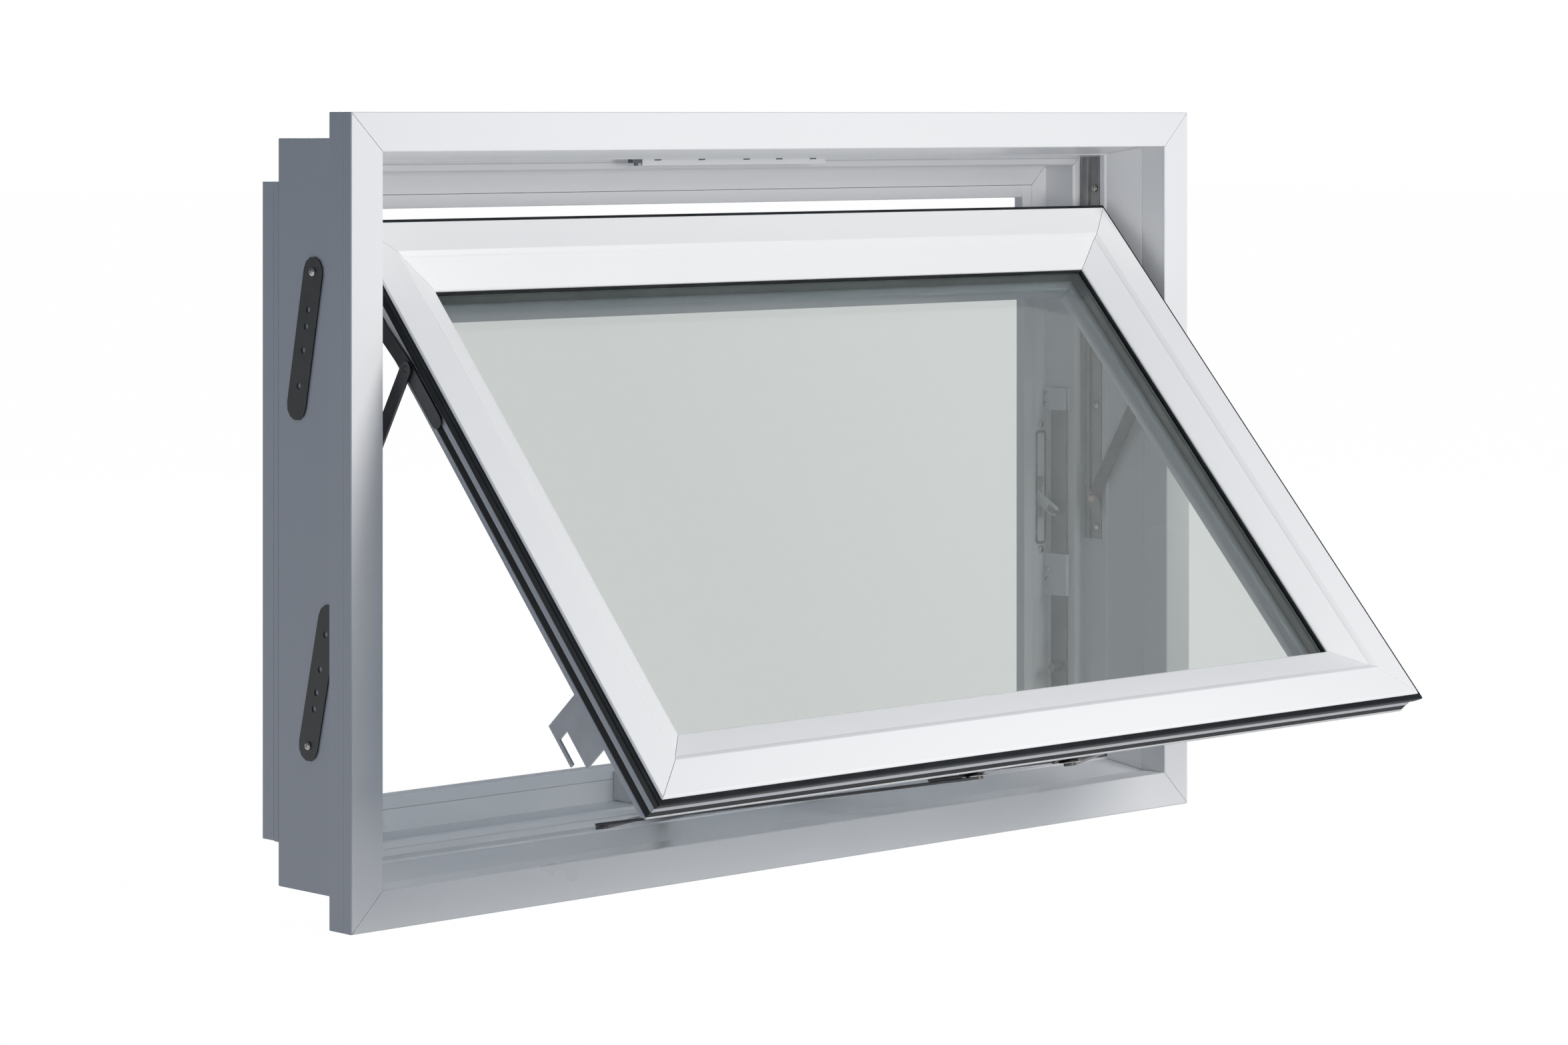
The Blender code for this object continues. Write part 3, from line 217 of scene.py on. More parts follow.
def ranged(material, factor, low, high):
    """A noise value spread between two limits."""
    spread = material.node_tree.nodes.new("ShaderNodeMapRange")
    spread.inputs["From Min"].default_value = NOISE_SPAN[0]
    spread.inputs["From Max"].default_value = NOISE_SPAN[1]
    spread.inputs["To Min"].default_value = low
    spread.inputs["To Max"].default_value = high
    material.node_tree.links.new(factor, spread.inputs["Value"])
    return spread.outputs["Result"]


LINE_DEPTH = 0.0004                 # of the drawn lines, at full relief


def drawn_finish(name, direction, dark, light, gloss, metallic=0.0, relief=0.02, tilt=0.0,
                 fineness=8.0, patches=5.0, specular=0.5, streaked=True):
    """Finish drawn along X or Z, tipped about X. Its gloss follows the lines if streaked,
    or else the patches."""
    material = bpy.data.materials.new(name)
    material.use_nodes = True
    nodes, links = material.node_tree.nodes, material.node_tree.links
    shader = nodes["Principled BSDF"]
    shader.inputs["Metallic"].default_value = metallic
    shader.inputs["Specular IOR Level"].default_value = specular
    place = nodes.new("ShaderNodeTexCoord")
    stretch = nodes.new("ShaderNodeMapping")
    stretch.vector_type = "TEXTURE"
    stretch.inputs["Scale"].default_value = stretch_sizes(direction)
    stretch.inputs["Rotation"].default_value = (tilt, 0.0, 0.0)
    links.new(place.outputs["Object"], stretch.inputs["Vector"])
    lines = nodes.new("ShaderNodeGroup")
    lines.node_tree = drawn_lines
    lines.inputs["Fineness"].default_value = fineness
    lines.inputs["Patch Scale"].default_value = patches
    links.new(stretch.outputs["Vector"], lines.inputs["Vector"])
    links.new(two_tone(material, lines.outputs["Patches"], dark, light),
              shader.inputs["Base Color"])
    gloss_from = lines.outputs["Lines" if streaked else "Patches"]
    links.new(ranged(material, gloss_from, *gloss), shader.inputs["Roughness"])
    bump = nodes.new("ShaderNodeBump")
    bump.inputs["Strength"].default_value = relief
    bump.inputs["Distance"].default_value = LINE_DEPTH
    links.new(lines.outputs["Lines"], bump.inputs["Height"])
    links.new(bump.outputs["Normal"], shader.inputs["Normal"])
    return material


VINYL_TONES = ((0.857, 0.863, 0.873), (0.865, 0.870, 0.880))
VINYL_GLOSS = (0.30, 0.33)
VINYL_RELIEF = 0.004


def vinyl_pair(name, tones, gloss, tilt=0.0):
    """One PVC finish twice: for level members and for upright ones."""
    return [drawn_finish(f"{name}_{way}", direction, *tones, gloss, relief=VINYL_RELIEF,
                         tilt=tilt, streaked=False)
            for way, direction in (("level", "X"), ("upright", "Z"))]


vinyl_level, vinyl_upright = vinyl_pair("vinyl", VINYL_TONES, VINYL_GLOSS)
SOFT_BEND = radians(40)             # sharper folds are shaded as edges


def shown(name, bm, material, body):
    """Put a finished mesh in the scene, on its body, shaded smooth over soft bends."""
    mesh = bpy.data.meshes.new(name)
    bm.to_mesh(mesh)
    bm.free()
    mesh.shade_smooth()
    mesh.set_sharp_from_angle(angle=SOFT_BEND)
    mesh.materials.append(material)
    piece = bpy.data.objects.new(name, mesh)
    bpy.context.scene.collection.objects.link(piece)
    weighting = piece.modifiers.new("flat_faces_first", "WEIGHTED_NORMAL")
    weighting.keep_sharp = True
    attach(piece, body)
    return piece


WELD_WITHIN = 0.00001
FLAT_WITHIN = radians(0.5)
ROUND_FROM = radians(26)            # shallower folds are facets of a curve


def eased(node, radius, material, segments=2):
    """Show a CAD piece, its edges rounded as moulding, drawing or stamping leaves them."""
    bm = bmesh.new()
    bm.from_mesh(frame["nodes"][node].data)
    bmesh.ops.remove_doubles(bm, verts=bm.verts, dist=WELD_WITHIN)
    bmesh.ops.dissolve_limit(bm, angle_limit=FLAT_WITHIN, verts=bm.verts, edges=bm.edges)
    corners = [edge for edge in bm.edges
               if edge.is_manifold and edge.calc_face_angle() > ROUND_FROM]
    bmesh.ops.bevel(bm, geom=corners, offset=radius, offset_type="OFFSET", affect="EDGES",
                    segments=segments, profile=0.5, material=-1, clamp_overlap=True)
    for layer in list(bm.loops.layers.uv):
        bm.loops.layers.uv.remove(layer)
    piece = shown(node + "_finished", bm, material, body_that_carries(node))
    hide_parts(node)


VINYL_EDGE = 0.0005
for member, finish in (("head", vinyl_level), ("sill", vinyl_level),
                       ("jamb_left", vinyl_upright), ("jamb_right", vinyl_upright)):
    eased("frame_" + member, VINYL_EDGE, finish)

# ---------------------------------------------------------------- exterior casing
# The brickmould is a thicker PVC trim extrusion snapped on to the frame's front. Its
# face is smooth and a shade brighter, with softer arrises than the frame's.
CASING_TONES = ((0.866, 0.871, 0.877), (0.873, 0.878, 0.883))
CASING_GLOSS = (0.27, 0.295)
CASING_EDGE = 0.0006
casing_level, casing_upright = vinyl_pair("casing", CASING_TONES, CASING_GLOSS)
for member, finish in (("head", casing_level), ("sill", casing_level),
                       ("jamb_left", casing_upright), ("jamb_right", casing_upright)):
    eased("brickmould_" + member, CASING_EDGE, finish)

# ---------------------------------------------------------------- interior stops
# PVC stops screwed to the room side of the frame: the jamb stops run long and wrap the
# body's back edge, and the head and sill stops are cut between them.
for stop, finish in (("stop_head", vinyl_level), ("stop_sill", vinyl_level),
                     ("stop_jamb_left", vinyl_upright), ("stop_jamb_right", vinyl_upright)):
    eased(stop, VINYL_EDGE, finish)

# ---------------------------------------------------------------- head clip strip
# A short white PVC strip snapped in behind the head's rib steadies the sash's top when it
# shuts. It is punched with five small slots, shown as dark blocks of painted shade, and
# ends in a dark clip.
STRIP_FROM, STRIP_TO = -0.122, 0.100
STRIP_FRONT, STRIP_BACK = 0.0500, 0.0522    # behind the frame's front edge
STRIP_DEEP, STRIP_LOW = 0.0164, 0.0252      # below the head's top
LIP_REACH, LIP_THICK, LIP_GAP = 0.012, 0.0016, 0.0001
STRIP_EDGE = 0.0004
SLOTS_AT = (-0.104, -0.052, 0.002, 0.042, 0.084)
SLOT_HALF = 0.004
SLOT_LOW, SLOT_HIGH = 0.0208, 0.0196
FRAME_DEPTH = 0.1135
head_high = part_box("frame_head")[1]
FRONT_EDGE = head_high[1] - FRAME_DEPTH     # plane between the casing and the frame
HEAD_TOP = head_high[2]


def block(low, high, radius, segments=2):
    """Rectangular piece between two corners, its edges rounded."""
    bm = bmesh.new()
    bmesh.ops.create_cube(bm, size=1.0)
    low, high = Vector(low), Vector(high)
    bmesh.ops.scale(bm, vec=high - low, verts=bm.verts)
    bmesh.ops.translate(bm, vec=(high + low) / 2, verts=bm.verts)
    bmesh.ops.bevel(bm, geom=bm.edges[:], offset=radius, affect="EDGES", segments=segments,
                    profile=0.5, material=-1)
    return bm


def stored(bm, name):
    """Mesh kept for stamping out copies."""
    mesh = bpy.data.meshes.new(name)
    bm.to_mesh(mesh)
    bm.free()
    return mesh


def beside(*parts):
    """Several shapes as one."""
    bm = bmesh.new()
    for part in parts:
        part_mesh = stored(part, "part")
        bm.from_mesh(part_mesh)
        bpy.data.meshes.remove(part_mesh)
    return bm


web_low = (STRIP_FROM, FRONT_EDGE + STRIP_FRONT, HEAD_TOP - STRIP_LOW)
web_high = (STRIP_TO, FRONT_EDGE + STRIP_BACK, HEAD_TOP - STRIP_DEEP)
lip_low = (STRIP_FROM, FRONT_EDGE + STRIP_FRONT, HEAD_TOP - STRIP_DEEP - LIP_THICK)
lip_high = (STRIP_TO, FRONT_EDGE + STRIP_FRONT + LIP_REACH, HEAD_TOP - STRIP_DEEP - LIP_GAP)
shown("head_strip",
      beside(block(web_low, web_high, STRIP_EDGE), block(lip_low, lip_high, STRIP_EDGE)),
      vinyl_level, "window_frame")
# One dark finish: painted shade in the slots, and the clip's own dark colour.
slot_shade_and_clip_dark = drawn_finish("slot_shade_and_clip_dark", "X", (0.10, 0.11, 0.13), (0.16, 0.17, 0.19),
                         (0.5, 0.6), streaked=False)
# Each slot is a thin dark block over the strip's face: painted shade standing in for the hole.
painted_slot_shade = [
    block((x - SLOT_HALF, FRONT_EDGE + STRIP_FRONT - 0.0002, HEAD_TOP - SLOT_LOW),
          (x + SLOT_HALF, FRONT_EDGE + STRIP_FRONT + 0.0004, HEAD_TOP - SLOT_HIGH), 0.0002, 1)
    for x in SLOTS_AT]
shown("head_strip_slot_shade", beside(*painted_slot_shade), slot_shade_and_clip_dark, "window_frame")
# The clip is a plug against the strip's end, with a small tongue below.
shown("head_strip_clip", beside(
    block((STRIP_FROM - 0.012, FRONT_EDGE + 0.0495, HEAD_TOP - 0.0228),
          (STRIP_FROM - 0.001, FRONT_EDGE + 0.0560, HEAD_TOP - 0.0165), 0.0008),
    block((STRIP_FROM - 0.0085, FRONT_EDGE + 0.0500, HEAD_TOP - 0.0252),
          (STRIP_FROM - 0.0045, FRONT_EDGE + 0.0520, HEAD_TOP - 0.0222), 0.0006)),
      slot_shade_and_clip_dark, "window_frame")

# ---------------------------------------------------------------- installation clips
# Dark coated steel straps, punched with screw holes, that are screwed to the outside of
# the jambs and nailed to the framing. Their cut edges show brighter steel.
strap_steel = drawn_finish("strap_steel", "Z", (0.040, 0.041, 0.044), (0.052, 0.053, 0.057),
                           (0.36, 0.44), metallic=0.6, relief=0.02, fineness=3.0,
                           patches=60.0, streaked=False)


def turned(points, segments=20):
    """Round piece about Z from its outline of (radius, height) points."""
    bm = bmesh.new()
    ring = [bm.verts.new((radius, 0, height)) for radius, height in points]
    edges = [bm.edges.new(pair) for pair in zip(ring, ring[1:])]
    bmesh.ops.spin(bm, geom=ring + edges, cent=(0, 0, 0), axis=(0, 0, 1), angle=2 * pi,
                   steps=segments, use_merge=True)
    bmesh.ops.remove_doubles(bm, verts=bm.verts, dist=0.000005)
    bmesh.ops.recalc_face_normals(bm, faces=bm.faces)
    return bm


def pan_head(radius=0.0036):
    """Pan head with a cross recess, its seat on Z = 0."""
    height = radius * 0.55
    dome = [(0.0, height), (radius * 0.55, height * 0.97), (radius * 0.85, height * 0.78),
            (radius * 0.98, height * 0.42), (radius, height * 0.15), (radius, -0.0002),
            (0.0, -0.0002)]
    head = bpy.data.objects.new("pan_head_blank", stored(turned(dome, 16), "pan_head"))
    bpy.context.scene.collection.objects.link(head)
    reach, width = radius * 1.15, radius * 0.24
    tools = []
    for size in ((reach, width, height), (width, reach, height)):
        slot_bm = bmesh.new()
        bmesh.ops.create_cube(slot_bm, size=1.0)
        bmesh.ops.scale(slot_bm, vec=size, verts=slot_bm.verts)
        bmesh.ops.translate(slot_bm, vec=(0, 0, height * 1.05), verts=slot_bm.verts)
        tool = bpy.data.objects.new("cross_slot", stored(slot_bm, "cross_slot"))
        bpy.context.scene.collection.objects.link(tool)
        carve = head.modifiers.new("cross", "BOOLEAN")
        carve.operation = "DIFFERENCE"
        carve.solver = "EXACT"
        carve.object = tool
        tools.append(tool)
    bpy.context.view_layer.update()
    cut = bpy.data.meshes.new_from_object(
        head.evaluated_get(bpy.context.evaluated_depsgraph_get()))
    for spare in tools + [head]:
        bpy.data.objects.remove(spare, do_unlink=True)
    return cut


SCREW_HEAD = pan_head()


def driven(name, heads, material, body, shape=SCREW_HEAD, size=1.0):
    """Screw or rivet heads, each given as a point and the way it faces, as one piece."""
    bm = bmesh.new()
    for number, (point, outward) in enumerate(heads):
        first = len(bm.verts)
        bm.from_mesh(shape)
        bm.verts.ensure_lookup_table()
        fresh = bm.verts[first:]
        spin = Matrix.Rotation(0.7 * number + 0.3, 4, "Z")
        aim = Vector(outward).to_track_quat("Z", "Y").to_matrix().to_4x4()
        bmesh.ops.transform(bm, matrix=Matrix.Translation(point) @ aim @ spin
                            @ Matrix.Scale(size, 4), verts=fresh)
    shown(name, bm, material, body)


bright_steel = drawn_finish("bright_steel", "Z", (0.33, 0.32, 0.31), (0.55, 0.54, 0.53),
                            (0.22, 0.40), metallic=1.0, relief=0.04, fineness=4.0,
                            patches=90.0)
SIDES = (("left", -1), ("right", 1))
STRAP_HALF = 0.0125
for word, side in SIDES:
    for level in ("upper", "lower"):
        node = f"clip_{word}_{level}"
        eased(node, 0.0002, strap_steel, segments=1)
        low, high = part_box(node)
        screw_high = level == "upper"
        outer_x = low[0] if side < 0 else high[0]
        centre_y = low[1] + STRAP_HALF if screw_high else high[1] - STRAP_HALF
        centre_z = high[2] - STRAP_HALF if screw_high else low[2] + STRAP_HALF
        driven(f"clip_screw_{word}_{level}", [((outer_x, centre_y, centre_z), (side, 0, 0))],
               bright_steel, "window_frame")

# ---------------------------------------------------------------- hinge tracks
# Roll-formed stainless channels screwed into the jamb grooves. A stud near the foot
# carries the support arm, in an oval adjusting washer.
track_steel = drawn_finish("track_steel", "Z", (0.20, 0.20, 0.205), (0.27, 0.27, 0.275),
                           (0.32, 0.44), metallic=0.55, relief=0.02, patches=30.0)
aged_brass = drawn_finish("aged_brass", "Z", (0.34, 0.26, 0.20), (0.46, 0.37, 0.29),
                          (0.35, 0.5), metallic=0.7, patches=120.0)


def rivet(radius, height):
    """Domed rivet head, its seat on Z = 0."""
    return turned([(0.0, height), (radius * 0.5, height * 0.93), (radius * 0.85, height * 0.62),
                   (radius, height * 0.2), (radius, 0.0), (0.0, 0.0)], 18)


RIVET_HEAD = stored(rivet(0.0046, 0.0012), "rivet_head")
TRACK_WALL = 0.0013
PIVOT_IN = 0.055 - 0.0473           # the studs' line, behind the track's front edge
PIVOT_UP = 0.040                    # the lower stud, above the track's foot
track_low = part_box("hinge_track_left")[0]
PIVOT_Y = track_low[1] + PIVOT_IN
ARM_FOOT_Z = track_low[2] + PIVOT_UP
for word, side in SIDES:
    eased(f"hinge_track_{word}", 0.0003, track_steel)
    low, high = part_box(f"hinge_track_{word}")
    floor_x = low[0] + TRACK_WALL if side < 0 else high[0] - TRACK_WALL
    inward = (-side, 0, 0)
    screws = [((floor_x, PIVOT_Y, z), inward)
              for z in (ARM_FOOT_Z - 0.028, ARM_FOOT_Z + 0.089, high[2] - 0.030)]
    driven(f"track_screws_{word}", screws, bright_steel, "window_frame")

# ---------------------------------------------------------------- support arms
# Flat stainless arms, sheared and punched, that swing the sash out. A domed rivet holds
# each end.
arm_steel = drawn_finish("arm_steel", "Z", (0.060, 0.060, 0.064), (0.105, 0.105, 0.110),
                         (0.30, 0.44), metallic=0.55, relief=0.02, patches=25.0)
ARM_WIDTH = 0.013
ADJUSTER_THICK = 0.0009
ADJUSTER_LONG = 1.9                 # length of the oval over its width
ADJUSTER_SHIFT = -0.0052            # the stud sits off the oval's middle
arm_low, arm_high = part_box("support_arm_left")
arm_rise = (arm_high[2] - arm_low[2]) - ARM_WIDTH
arm_run = (arm_high[1] - arm_low[1]) - ARM_WIDTH
arm_lean = atan2(arm_run, arm_rise)
for word, side in SIDES:
    node = f"support_arm_{word}"
    eased(node, 0.0004, arm_steel)
    low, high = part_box(node)
    inner_x = high[0] if side < 0 else low[0]
    foot = Vector((inner_x, high[1] - ARM_WIDTH / 2, low[2] + ARM_WIDTH / 2))
    oval = bmesh.new()
    bmesh.ops.create_cone(oval, cap_ends=True, segments=24, radius1=0.0068, radius2=0.0062,
                          depth=ADJUSTER_THICK)
    bmesh.ops.scale(oval, vec=(ADJUSTER_LONG, 1.0, 1.0), verts=oval.verts)
    bmesh.ops.translate(oval, vec=(ADJUSTER_SHIFT, 0, ADJUSTER_THICK / 2), verts=oval.verts)
    stand = Vector((-side, 0, 0)).to_track_quat("Z", "Y").to_matrix().to_4x4()
    turn_up = Matrix.Rotation(arm_lean * side + pi / 2, 4, "Z")
    bmesh.ops.transform(oval, matrix=Matrix.Translation(foot) @ stand @ turn_up,
                        verts=oval.verts)
    shown(f"arm_adjuster_{word}", oval, track_steel, node)
    raised = foot + Vector((-side * ADJUSTER_THICK, 0, 0))
    driven(f"arm_foot_rivet_{word}", [(raised, (-side, 0, 0))], aged_brass, node,
           shape=RIVET_HEAD)

# ---------------------------------------------------------------- sash
# The sash is mitred and welded like the frame, from a deeper PVC extrusion with a flat
# outer land and a sloped face down to the glass. It stands tipped out at the bottom.
TILT = radians(41.7)
SASH_TONES = ((0.860, 0.863, 0.867), (0.868, 0.871, 0.874))
SASH_GLOSS = (0.285, 0.31)
SASH_EDGE, BEAD_EDGE = 0.0007, 0.0005
sash_level, sash_upright = vinyl_pair("sash", SASH_TONES, SASH_GLOSS, -TILT)
for node, finish in (("sash_bottom_rail", sash_level), ("sash_top_rail", sash_level),
                     ("sash_stile_left", sash_upright), ("sash_stile_right", sash_upright)):
    eased(node, SASH_EDGE, finish)
for node, finish in (("bead_bottom", sash_level), ("bead_top", sash_level),
                     ("bead_left", sash_upright), ("bead_right", sash_upright)):
    eased(node, BEAD_EDGE, finish)

# ---------------------------------------------------------------- insulated glass
# Two clear panes sealed to a dark spacer bar that runs round their edge, bedded on a
# thin black gasket.
GLASS_HALF = 0.40                   # half the pane's width
PAINTED_REFLECTION_RISE = 1.045                       # how much lighter the glass is painted, left to right: painted reflection
LET_THROUGH = (0.27, 0.32, 0.37)    # light that falls through one pane


def pane_glass(name, tint):
    """Clear sheet, painted a little lighter towards one end as a painted reflection, that lets
    light fall through it.
    """
    material = bpy.data.materials.new(name)
    material.use_nodes = True
    nodes, links = material.node_tree.nodes, material.node_tree.links
    shader = nodes["Principled BSDF"]
    shader.inputs["Transmission Weight"].default_value = 1.0
    shader.inputs["IOR"].default_value = 1.5
    place = nodes.new("ShaderNodeTexCoord")
    smear = nodes.new("ShaderNodeTexNoise")
    smear.inputs["Scale"].default_value = 6.0
    smear.inputs["Detail"].default_value = 5.0
    links.new(place.outputs["Object"], smear.inputs["Vector"])
    # Towards +X the tint is painted lighter: a painted reflection.
    reflection_lit_tint = tuple(min(1.0, channel * PAINTED_REFLECTION_RISE) for channel in tint)
    parted = nodes.new("ShaderNodeSeparateXYZ")
    links.new(place.outputs["Object"], parted.inputs["Vector"])
    across = nodes.new("ShaderNodeMapRange")
    across.inputs["From Min"].default_value = -GLASS_HALF
    across.inputs["From Max"].default_value = GLASS_HALF
    links.new(parted.outputs["X"], across.inputs["Value"])
    links.new(two_tone(material, across.outputs["Result"], tint, reflection_lit_tint, low=0.2, high=0.9),
              shader.inputs["Base Color"])
    links.new(ranged(material, smear.outputs["Fac"], 0.0, 0.012), shader.inputs["Roughness"])
    clear = nodes.new("ShaderNodeBsdfTransparent")
    clear.inputs["Color"].default_value = (*LET_THROUGH, 1)
    ray = nodes.new("ShaderNodeLightPath")
    either_way = nodes.new("ShaderNodeMixShader")
    links.new(ray.outputs["Is Shadow Ray"], either_way.inputs[0])
    links.new(shader.outputs[0], either_way.inputs[1])
    links.new(clear.outputs[0], either_way.inputs[2])
    links.new(either_way.outputs[0], nodes["Material Output"].inputs["Surface"])
    return material


outer_glass = pane_glass("outer_glass", (0.785, 0.803, 0.79))
inner_glass = pane_glass("inner_glass", (0.775, 0.797, 0.79))
frame["nodes"]["outer_pane"].data.materials[0] = outer_glass
frame["nodes"]["inner_pane"].data.materials[0] = inner_glass

spacer_metal = drawn_finish("spacer_metal", "X", (0.075, 0.085, 0.080), (0.15, 0.165, 0.155),
                            (0.3, 0.45), metallic=0.7, tilt=-TILT, patches=12.0)
eased("glass_spacer", 0.0004, spacer_metal)
gasket_black = drawn_finish("gasket_black", "X", (0.008, 0.010, 0.011), (0.016, 0.019, 0.020),
                            (0.55, 0.70), tilt=-TILT, patches=70.0, specular=0.2)
frame["nodes"]["glazing_gasket"].data.materials[0] = gasket_black

# ---------------------------------------------------------------- weather seals
# Extruded black rubber pressed into grooves round the sash's edge: an outer lip that stands
# out to meet the frame, and a second seal behind it.
seal_black = drawn_finish("seal_black", "X", (0.004, 0.006, 0.008), (0.010, 0.013, 0.015),
                          (0.50, 0.64), tilt=-TILT, relief=0.02, patches=45.0,
                          specular=0.22)
for node in ("sash_seal_outer", "sash_seal_middle"):
    eased(node, 0.0003, seal_black)

# ---------------------------------------------------------------- sash-side hinge parts
# A stamped strip on the sash's side joins the shoe and the support arm. The nylon shoe
# slides in the track. A bent zinc-plated keeper waits lower down for the lock's roller.
keeper_zinc = drawn_finish("keeper_zinc", "Z", (0.52, 0.54, 0.57), (0.60, 0.62, 0.65),
                           (0.36, 0.46), metallic=0.2, relief=0.02, patches=40.0)
nylon = drawn_finish("nylon_black", "X", (0.016, 0.017, 0.019), (0.034, 0.036, 0.038),
                     (0.42, 0.58), patches=150.0)
for word, side in SIDES:
    eased(f"sash_arm_{word}", 0.0004, arm_steel)
    eased(f"hinge_shoe_{word}", 0.0005, nylon)
    eased(f"lock_keeper_{word}", 0.0003, keeper_zinc)

# ---------------------------------------------------------------- crank operator
# Two stamped steel arms on a rocker drive two links under the sash's bracket, from a
# worm in the die-cast housing.
for node in ("operator_arm_left", "operator_arm_right", "operator_link_left",
             "operator_link_right"):
    eased(node, 0.0004, arm_steel)
eased("operator_rocker", 0.0003, track_steel)
eased("operator_bracket", 0.0004, nylon)
# Nylon clips and a riveted washer stack hold each link's end under the bracket.
OPERATOR_UP = Vector((0, 0.173467, 0.984840))
LINK_TOP = 0.0041                   # above the plane of the arms
JOINTS = {joint["name"]: joint for joint in frame["record"]["behaviour"]["joints"]}
for word, side in SIDES:
    shoulder = Vector(JOINTS[f"operator_arm_{word}_turn"]["pos_m"])
    elbow = Vector(JOINTS[f"operator_link_{word}_turn"]["pos_m"])
    link_end = Vector((shoulder.x, 2 * elbow.y - shoulder.y, 2 * elbow.z - shoulder.z))
    plane = OPERATOR_UP.to_track_quat("Z", "Y").to_matrix().to_4x4()
    on_link = Matrix.Translation(link_end + OPERATOR_UP * LINK_TOP)
    seat = on_link @ plane
    washer = turned([(0.0, 0.0011), (0.0088, 0.0011), (0.0093, 0.0006), (0.0088, 0.0),
                     (0.0, 0.0)], 24)
    stem = turned([(0.0, 0.0025), (0.0044, 0.0025), (0.0056, 0.0018), (0.0056, 0.0012),
                   (0.0, 0.0012)], 20)
    bmesh.ops.transform(washer, matrix=seat, verts=washer.verts)
    bmesh.ops.transform(stem, matrix=seat, verts=stem.verts)
    shown(f"link_washer_{word}", washer, bright_steel, f"operator_link_{word}")
    shown(f"link_rivet_{word}", stem, nylon, f"operator_link_{word}")
    clip = block((0.0120, -0.0062, 0.0001), (0.0400, 0.0062, 0.0028), 0.0009)
    toward = (elbow - link_end).normalized()
    across = OPERATOR_UP.cross(toward)
    lie = Matrix((toward, across, OPERATOR_UP)).transposed().to_4x4()
    bmesh.ops.transform(clip, matrix=on_link @ lie, verts=clip.verts)
    shown(f"link_clip_{word}", clip, nylon, f"operator_link_{word}")
white_enamel = drawn_finish("white_enamel", "X", (0.76, 0.775, 0.785), (0.83, 0.84, 0.85),
                            (0.28, 0.42), relief=0.10, fineness=2.0, patches=60.0)
eased("operator_housing", 0.0009, white_enamel)
eased("operator_cover", 0.0028, white_enamel, segments=4)
eased("crank_spindle", 0.0003, bright_steel)
eased("crank_hub", 0.0010, white_enamel, segments=3)
eased("crank_handle", 0.0022, white_enamel, segments=4)
eased("crank_knob", 0.0008, white_enamel, segments=3)

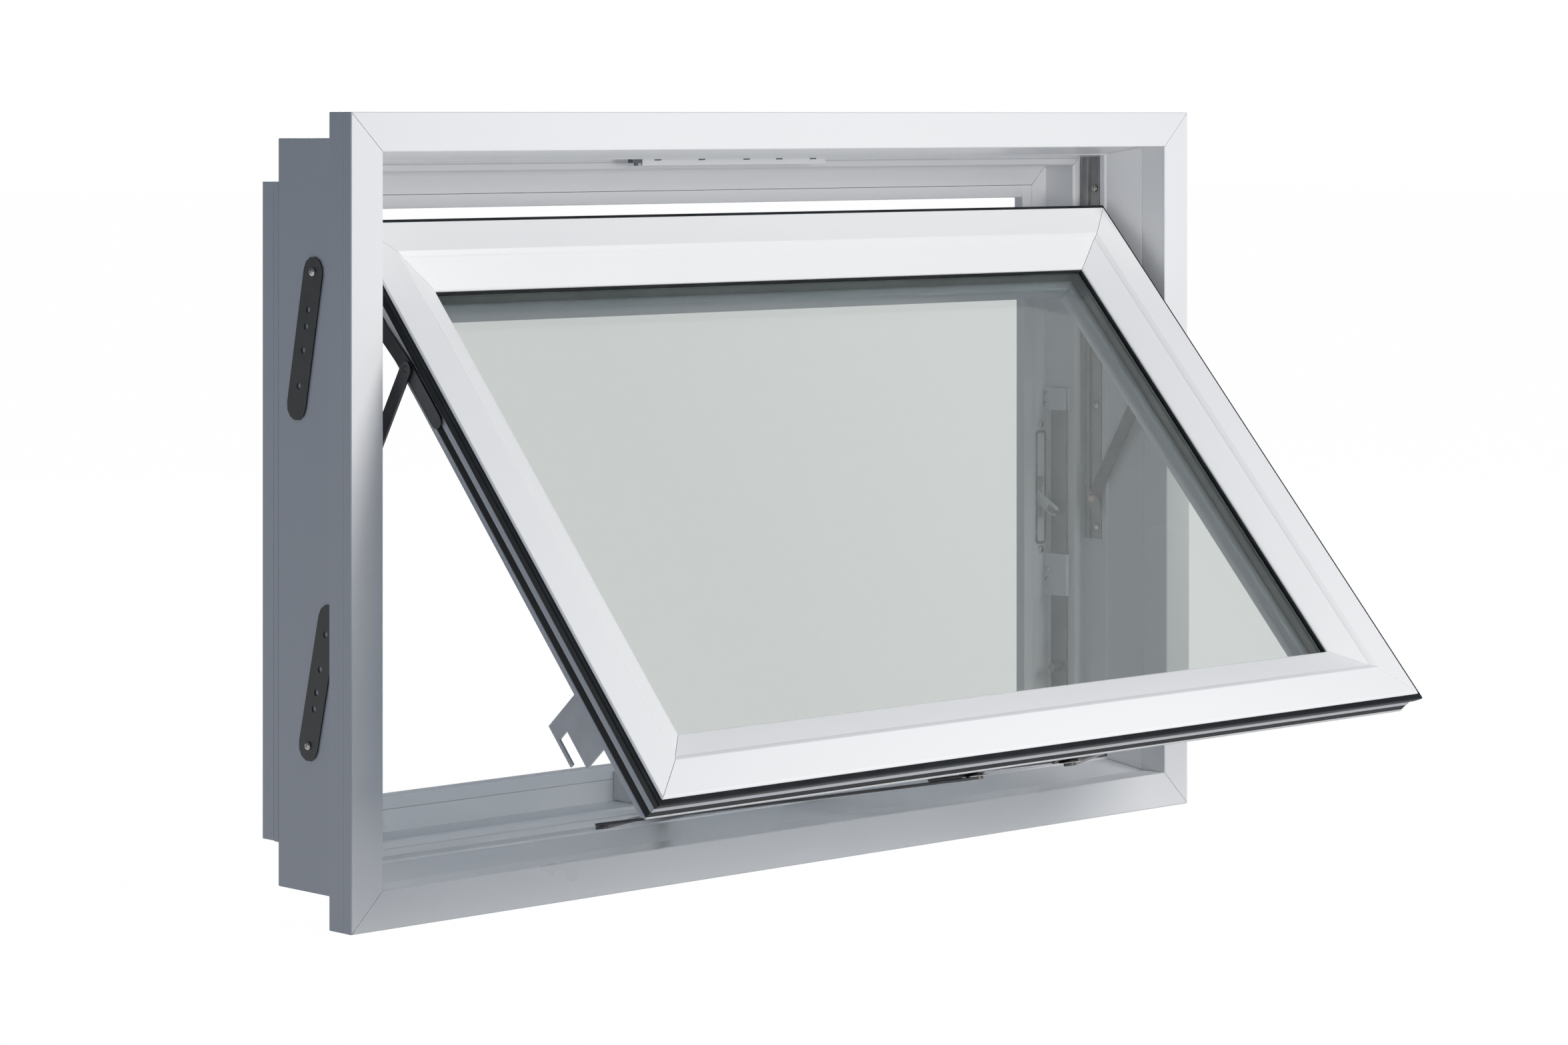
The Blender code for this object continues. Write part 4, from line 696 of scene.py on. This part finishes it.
# ---------------------------------------------------------------- jamb locks
# A die-cast lever on the room side works a flat steel tie bar in the jamb, whose roller
# runs up behind the sash's keeper.
LOCK_X, LOCK_Z = 0.4430, 0.2644
FLANGE_FRONT = FRONT_EDGE + 0.1090
PLATE_WIDTH, PLATE_LENGTH, PLATE_THICK = 0.0150, 0.1100, 0.0010
PLATE_RIM, PLATE_CORNER = 0.0026, 0.0045
PLATE_UP = 0.0095                   # the plate's middle, above the lever's turn
PLATE_SCREWS = (-0.0510, 0.0700)
UPPER_GUIDE = (0.3490, 0.3702)      # heights of its foot and its top
GUIDE_SCREW = 0.75                  # size beside the other screws
for word, side in SIDES:
    eased(f"lock_escutcheon_{word}", 0.0014, white_enamel, segments=3)
    eased(f"lock_lever_{word}", 0.0012, white_enamel, segments=3)
    eased(f"tie_bar_{word}", 0.0003, track_steel)
    eased(f"tie_bar_guide_{word}", 0.0006, white_enamel)

    # A slotted plate over the lever's opening, its two screws, and an upper guide like the
    # lower one, each with screws.
    lock_x = side * LOCK_X
    plate = bmesh.new()
    bmesh.ops.create_grid(plate, x_segments=1, y_segments=1, size=0.5)
    bmesh.ops.scale(plate, vec=(PLATE_WIDTH, PLATE_LENGTH, 1.0), verts=plate.verts)
    bmesh.ops.bevel(plate, geom=plate.verts[:], offset=PLATE_CORNER, affect="VERTICES",
                    segments=4, profile=0.5, material=-1)
    opening = plate.faces[:]
    bmesh.ops.inset_region(plate, faces=opening, thickness=PLATE_RIM, use_boundary=True,
                           use_even_offset=True)
    bmesh.ops.delete(plate, geom=opening, context="FACES_ONLY")
    bmesh.ops.recalc_face_normals(plate, faces=plate.faces)
    bmesh.ops.solidify(plate, geom=plate.faces[:], thickness=PLATE_THICK)
    bmesh.ops.recalc_face_normals(plate, faces=plate.faces)
    upright = Matrix.Translation((lock_x, FLANGE_FRONT - 0.0006, LOCK_Z + PLATE_UP))
    bmesh.ops.transform(plate, matrix=upright @ Matrix.Rotation(pi / 2, 4, "X"),
                        verts=plate.verts)
    shown(f"lock_plate_{word}", plate, bright_steel, "window_frame")
    driven(f"lock_plate_screws_{word}",
           [((lock_x, FLANGE_FRONT - 0.0002, LOCK_Z + z), (0, -1, 0)) for z in PLATE_SCREWS],
           bright_steel, "window_frame")
    guide_low, guide_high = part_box(f"tie_bar_guide_{word}")
    guide_face = guide_low[0] if side > 0 else guide_high[0]
    driven(f"guide_screws_{word}",
           [((guide_face, guide_low[1] + 0.0245, z), (-side, 0, 0))
            for z in (guide_low[2] + 0.0150, guide_low[2] + 0.0250)],
           bright_steel, "window_frame", size=GUIDE_SCREW)
    wall_face = guide_high[0] if side > 0 else guide_low[0]
    foot_span = sorted((wall_face, guide_face))
    bridge_span = sorted((wall_face - side * 0.0030, guide_face))
    upper_guide = beside(
        block((bridge_span[0], guide_low[1], UPPER_GUIDE[0]),
              (bridge_span[1], guide_low[1] + 0.0265, UPPER_GUIDE[1]), 0.0005),
        block((foot_span[0], guide_low[1], UPPER_GUIDE[0]),
              (foot_span[1], guide_low[1] + 0.0022, UPPER_GUIDE[1]), 0.0004),
        block((foot_span[0], guide_low[1] + 0.0240, UPPER_GUIDE[0]),
              (foot_span[1], guide_low[1] + 0.0290, UPPER_GUIDE[1]), 0.0004))
    shown(f"upper_guide_{word}", upper_guide, white_enamel, "window_frame")
    driven(f"upper_guide_screws_{word}",
           [((guide_face, guide_low[1] + 0.0262, z), (-side, 0, 0))
            for z in (UPPER_GUIDE[0] + 0.0055, UPPER_GUIDE[1] - 0.0055)],
           bright_steel, "window_frame", size=GUIDE_SCREW)
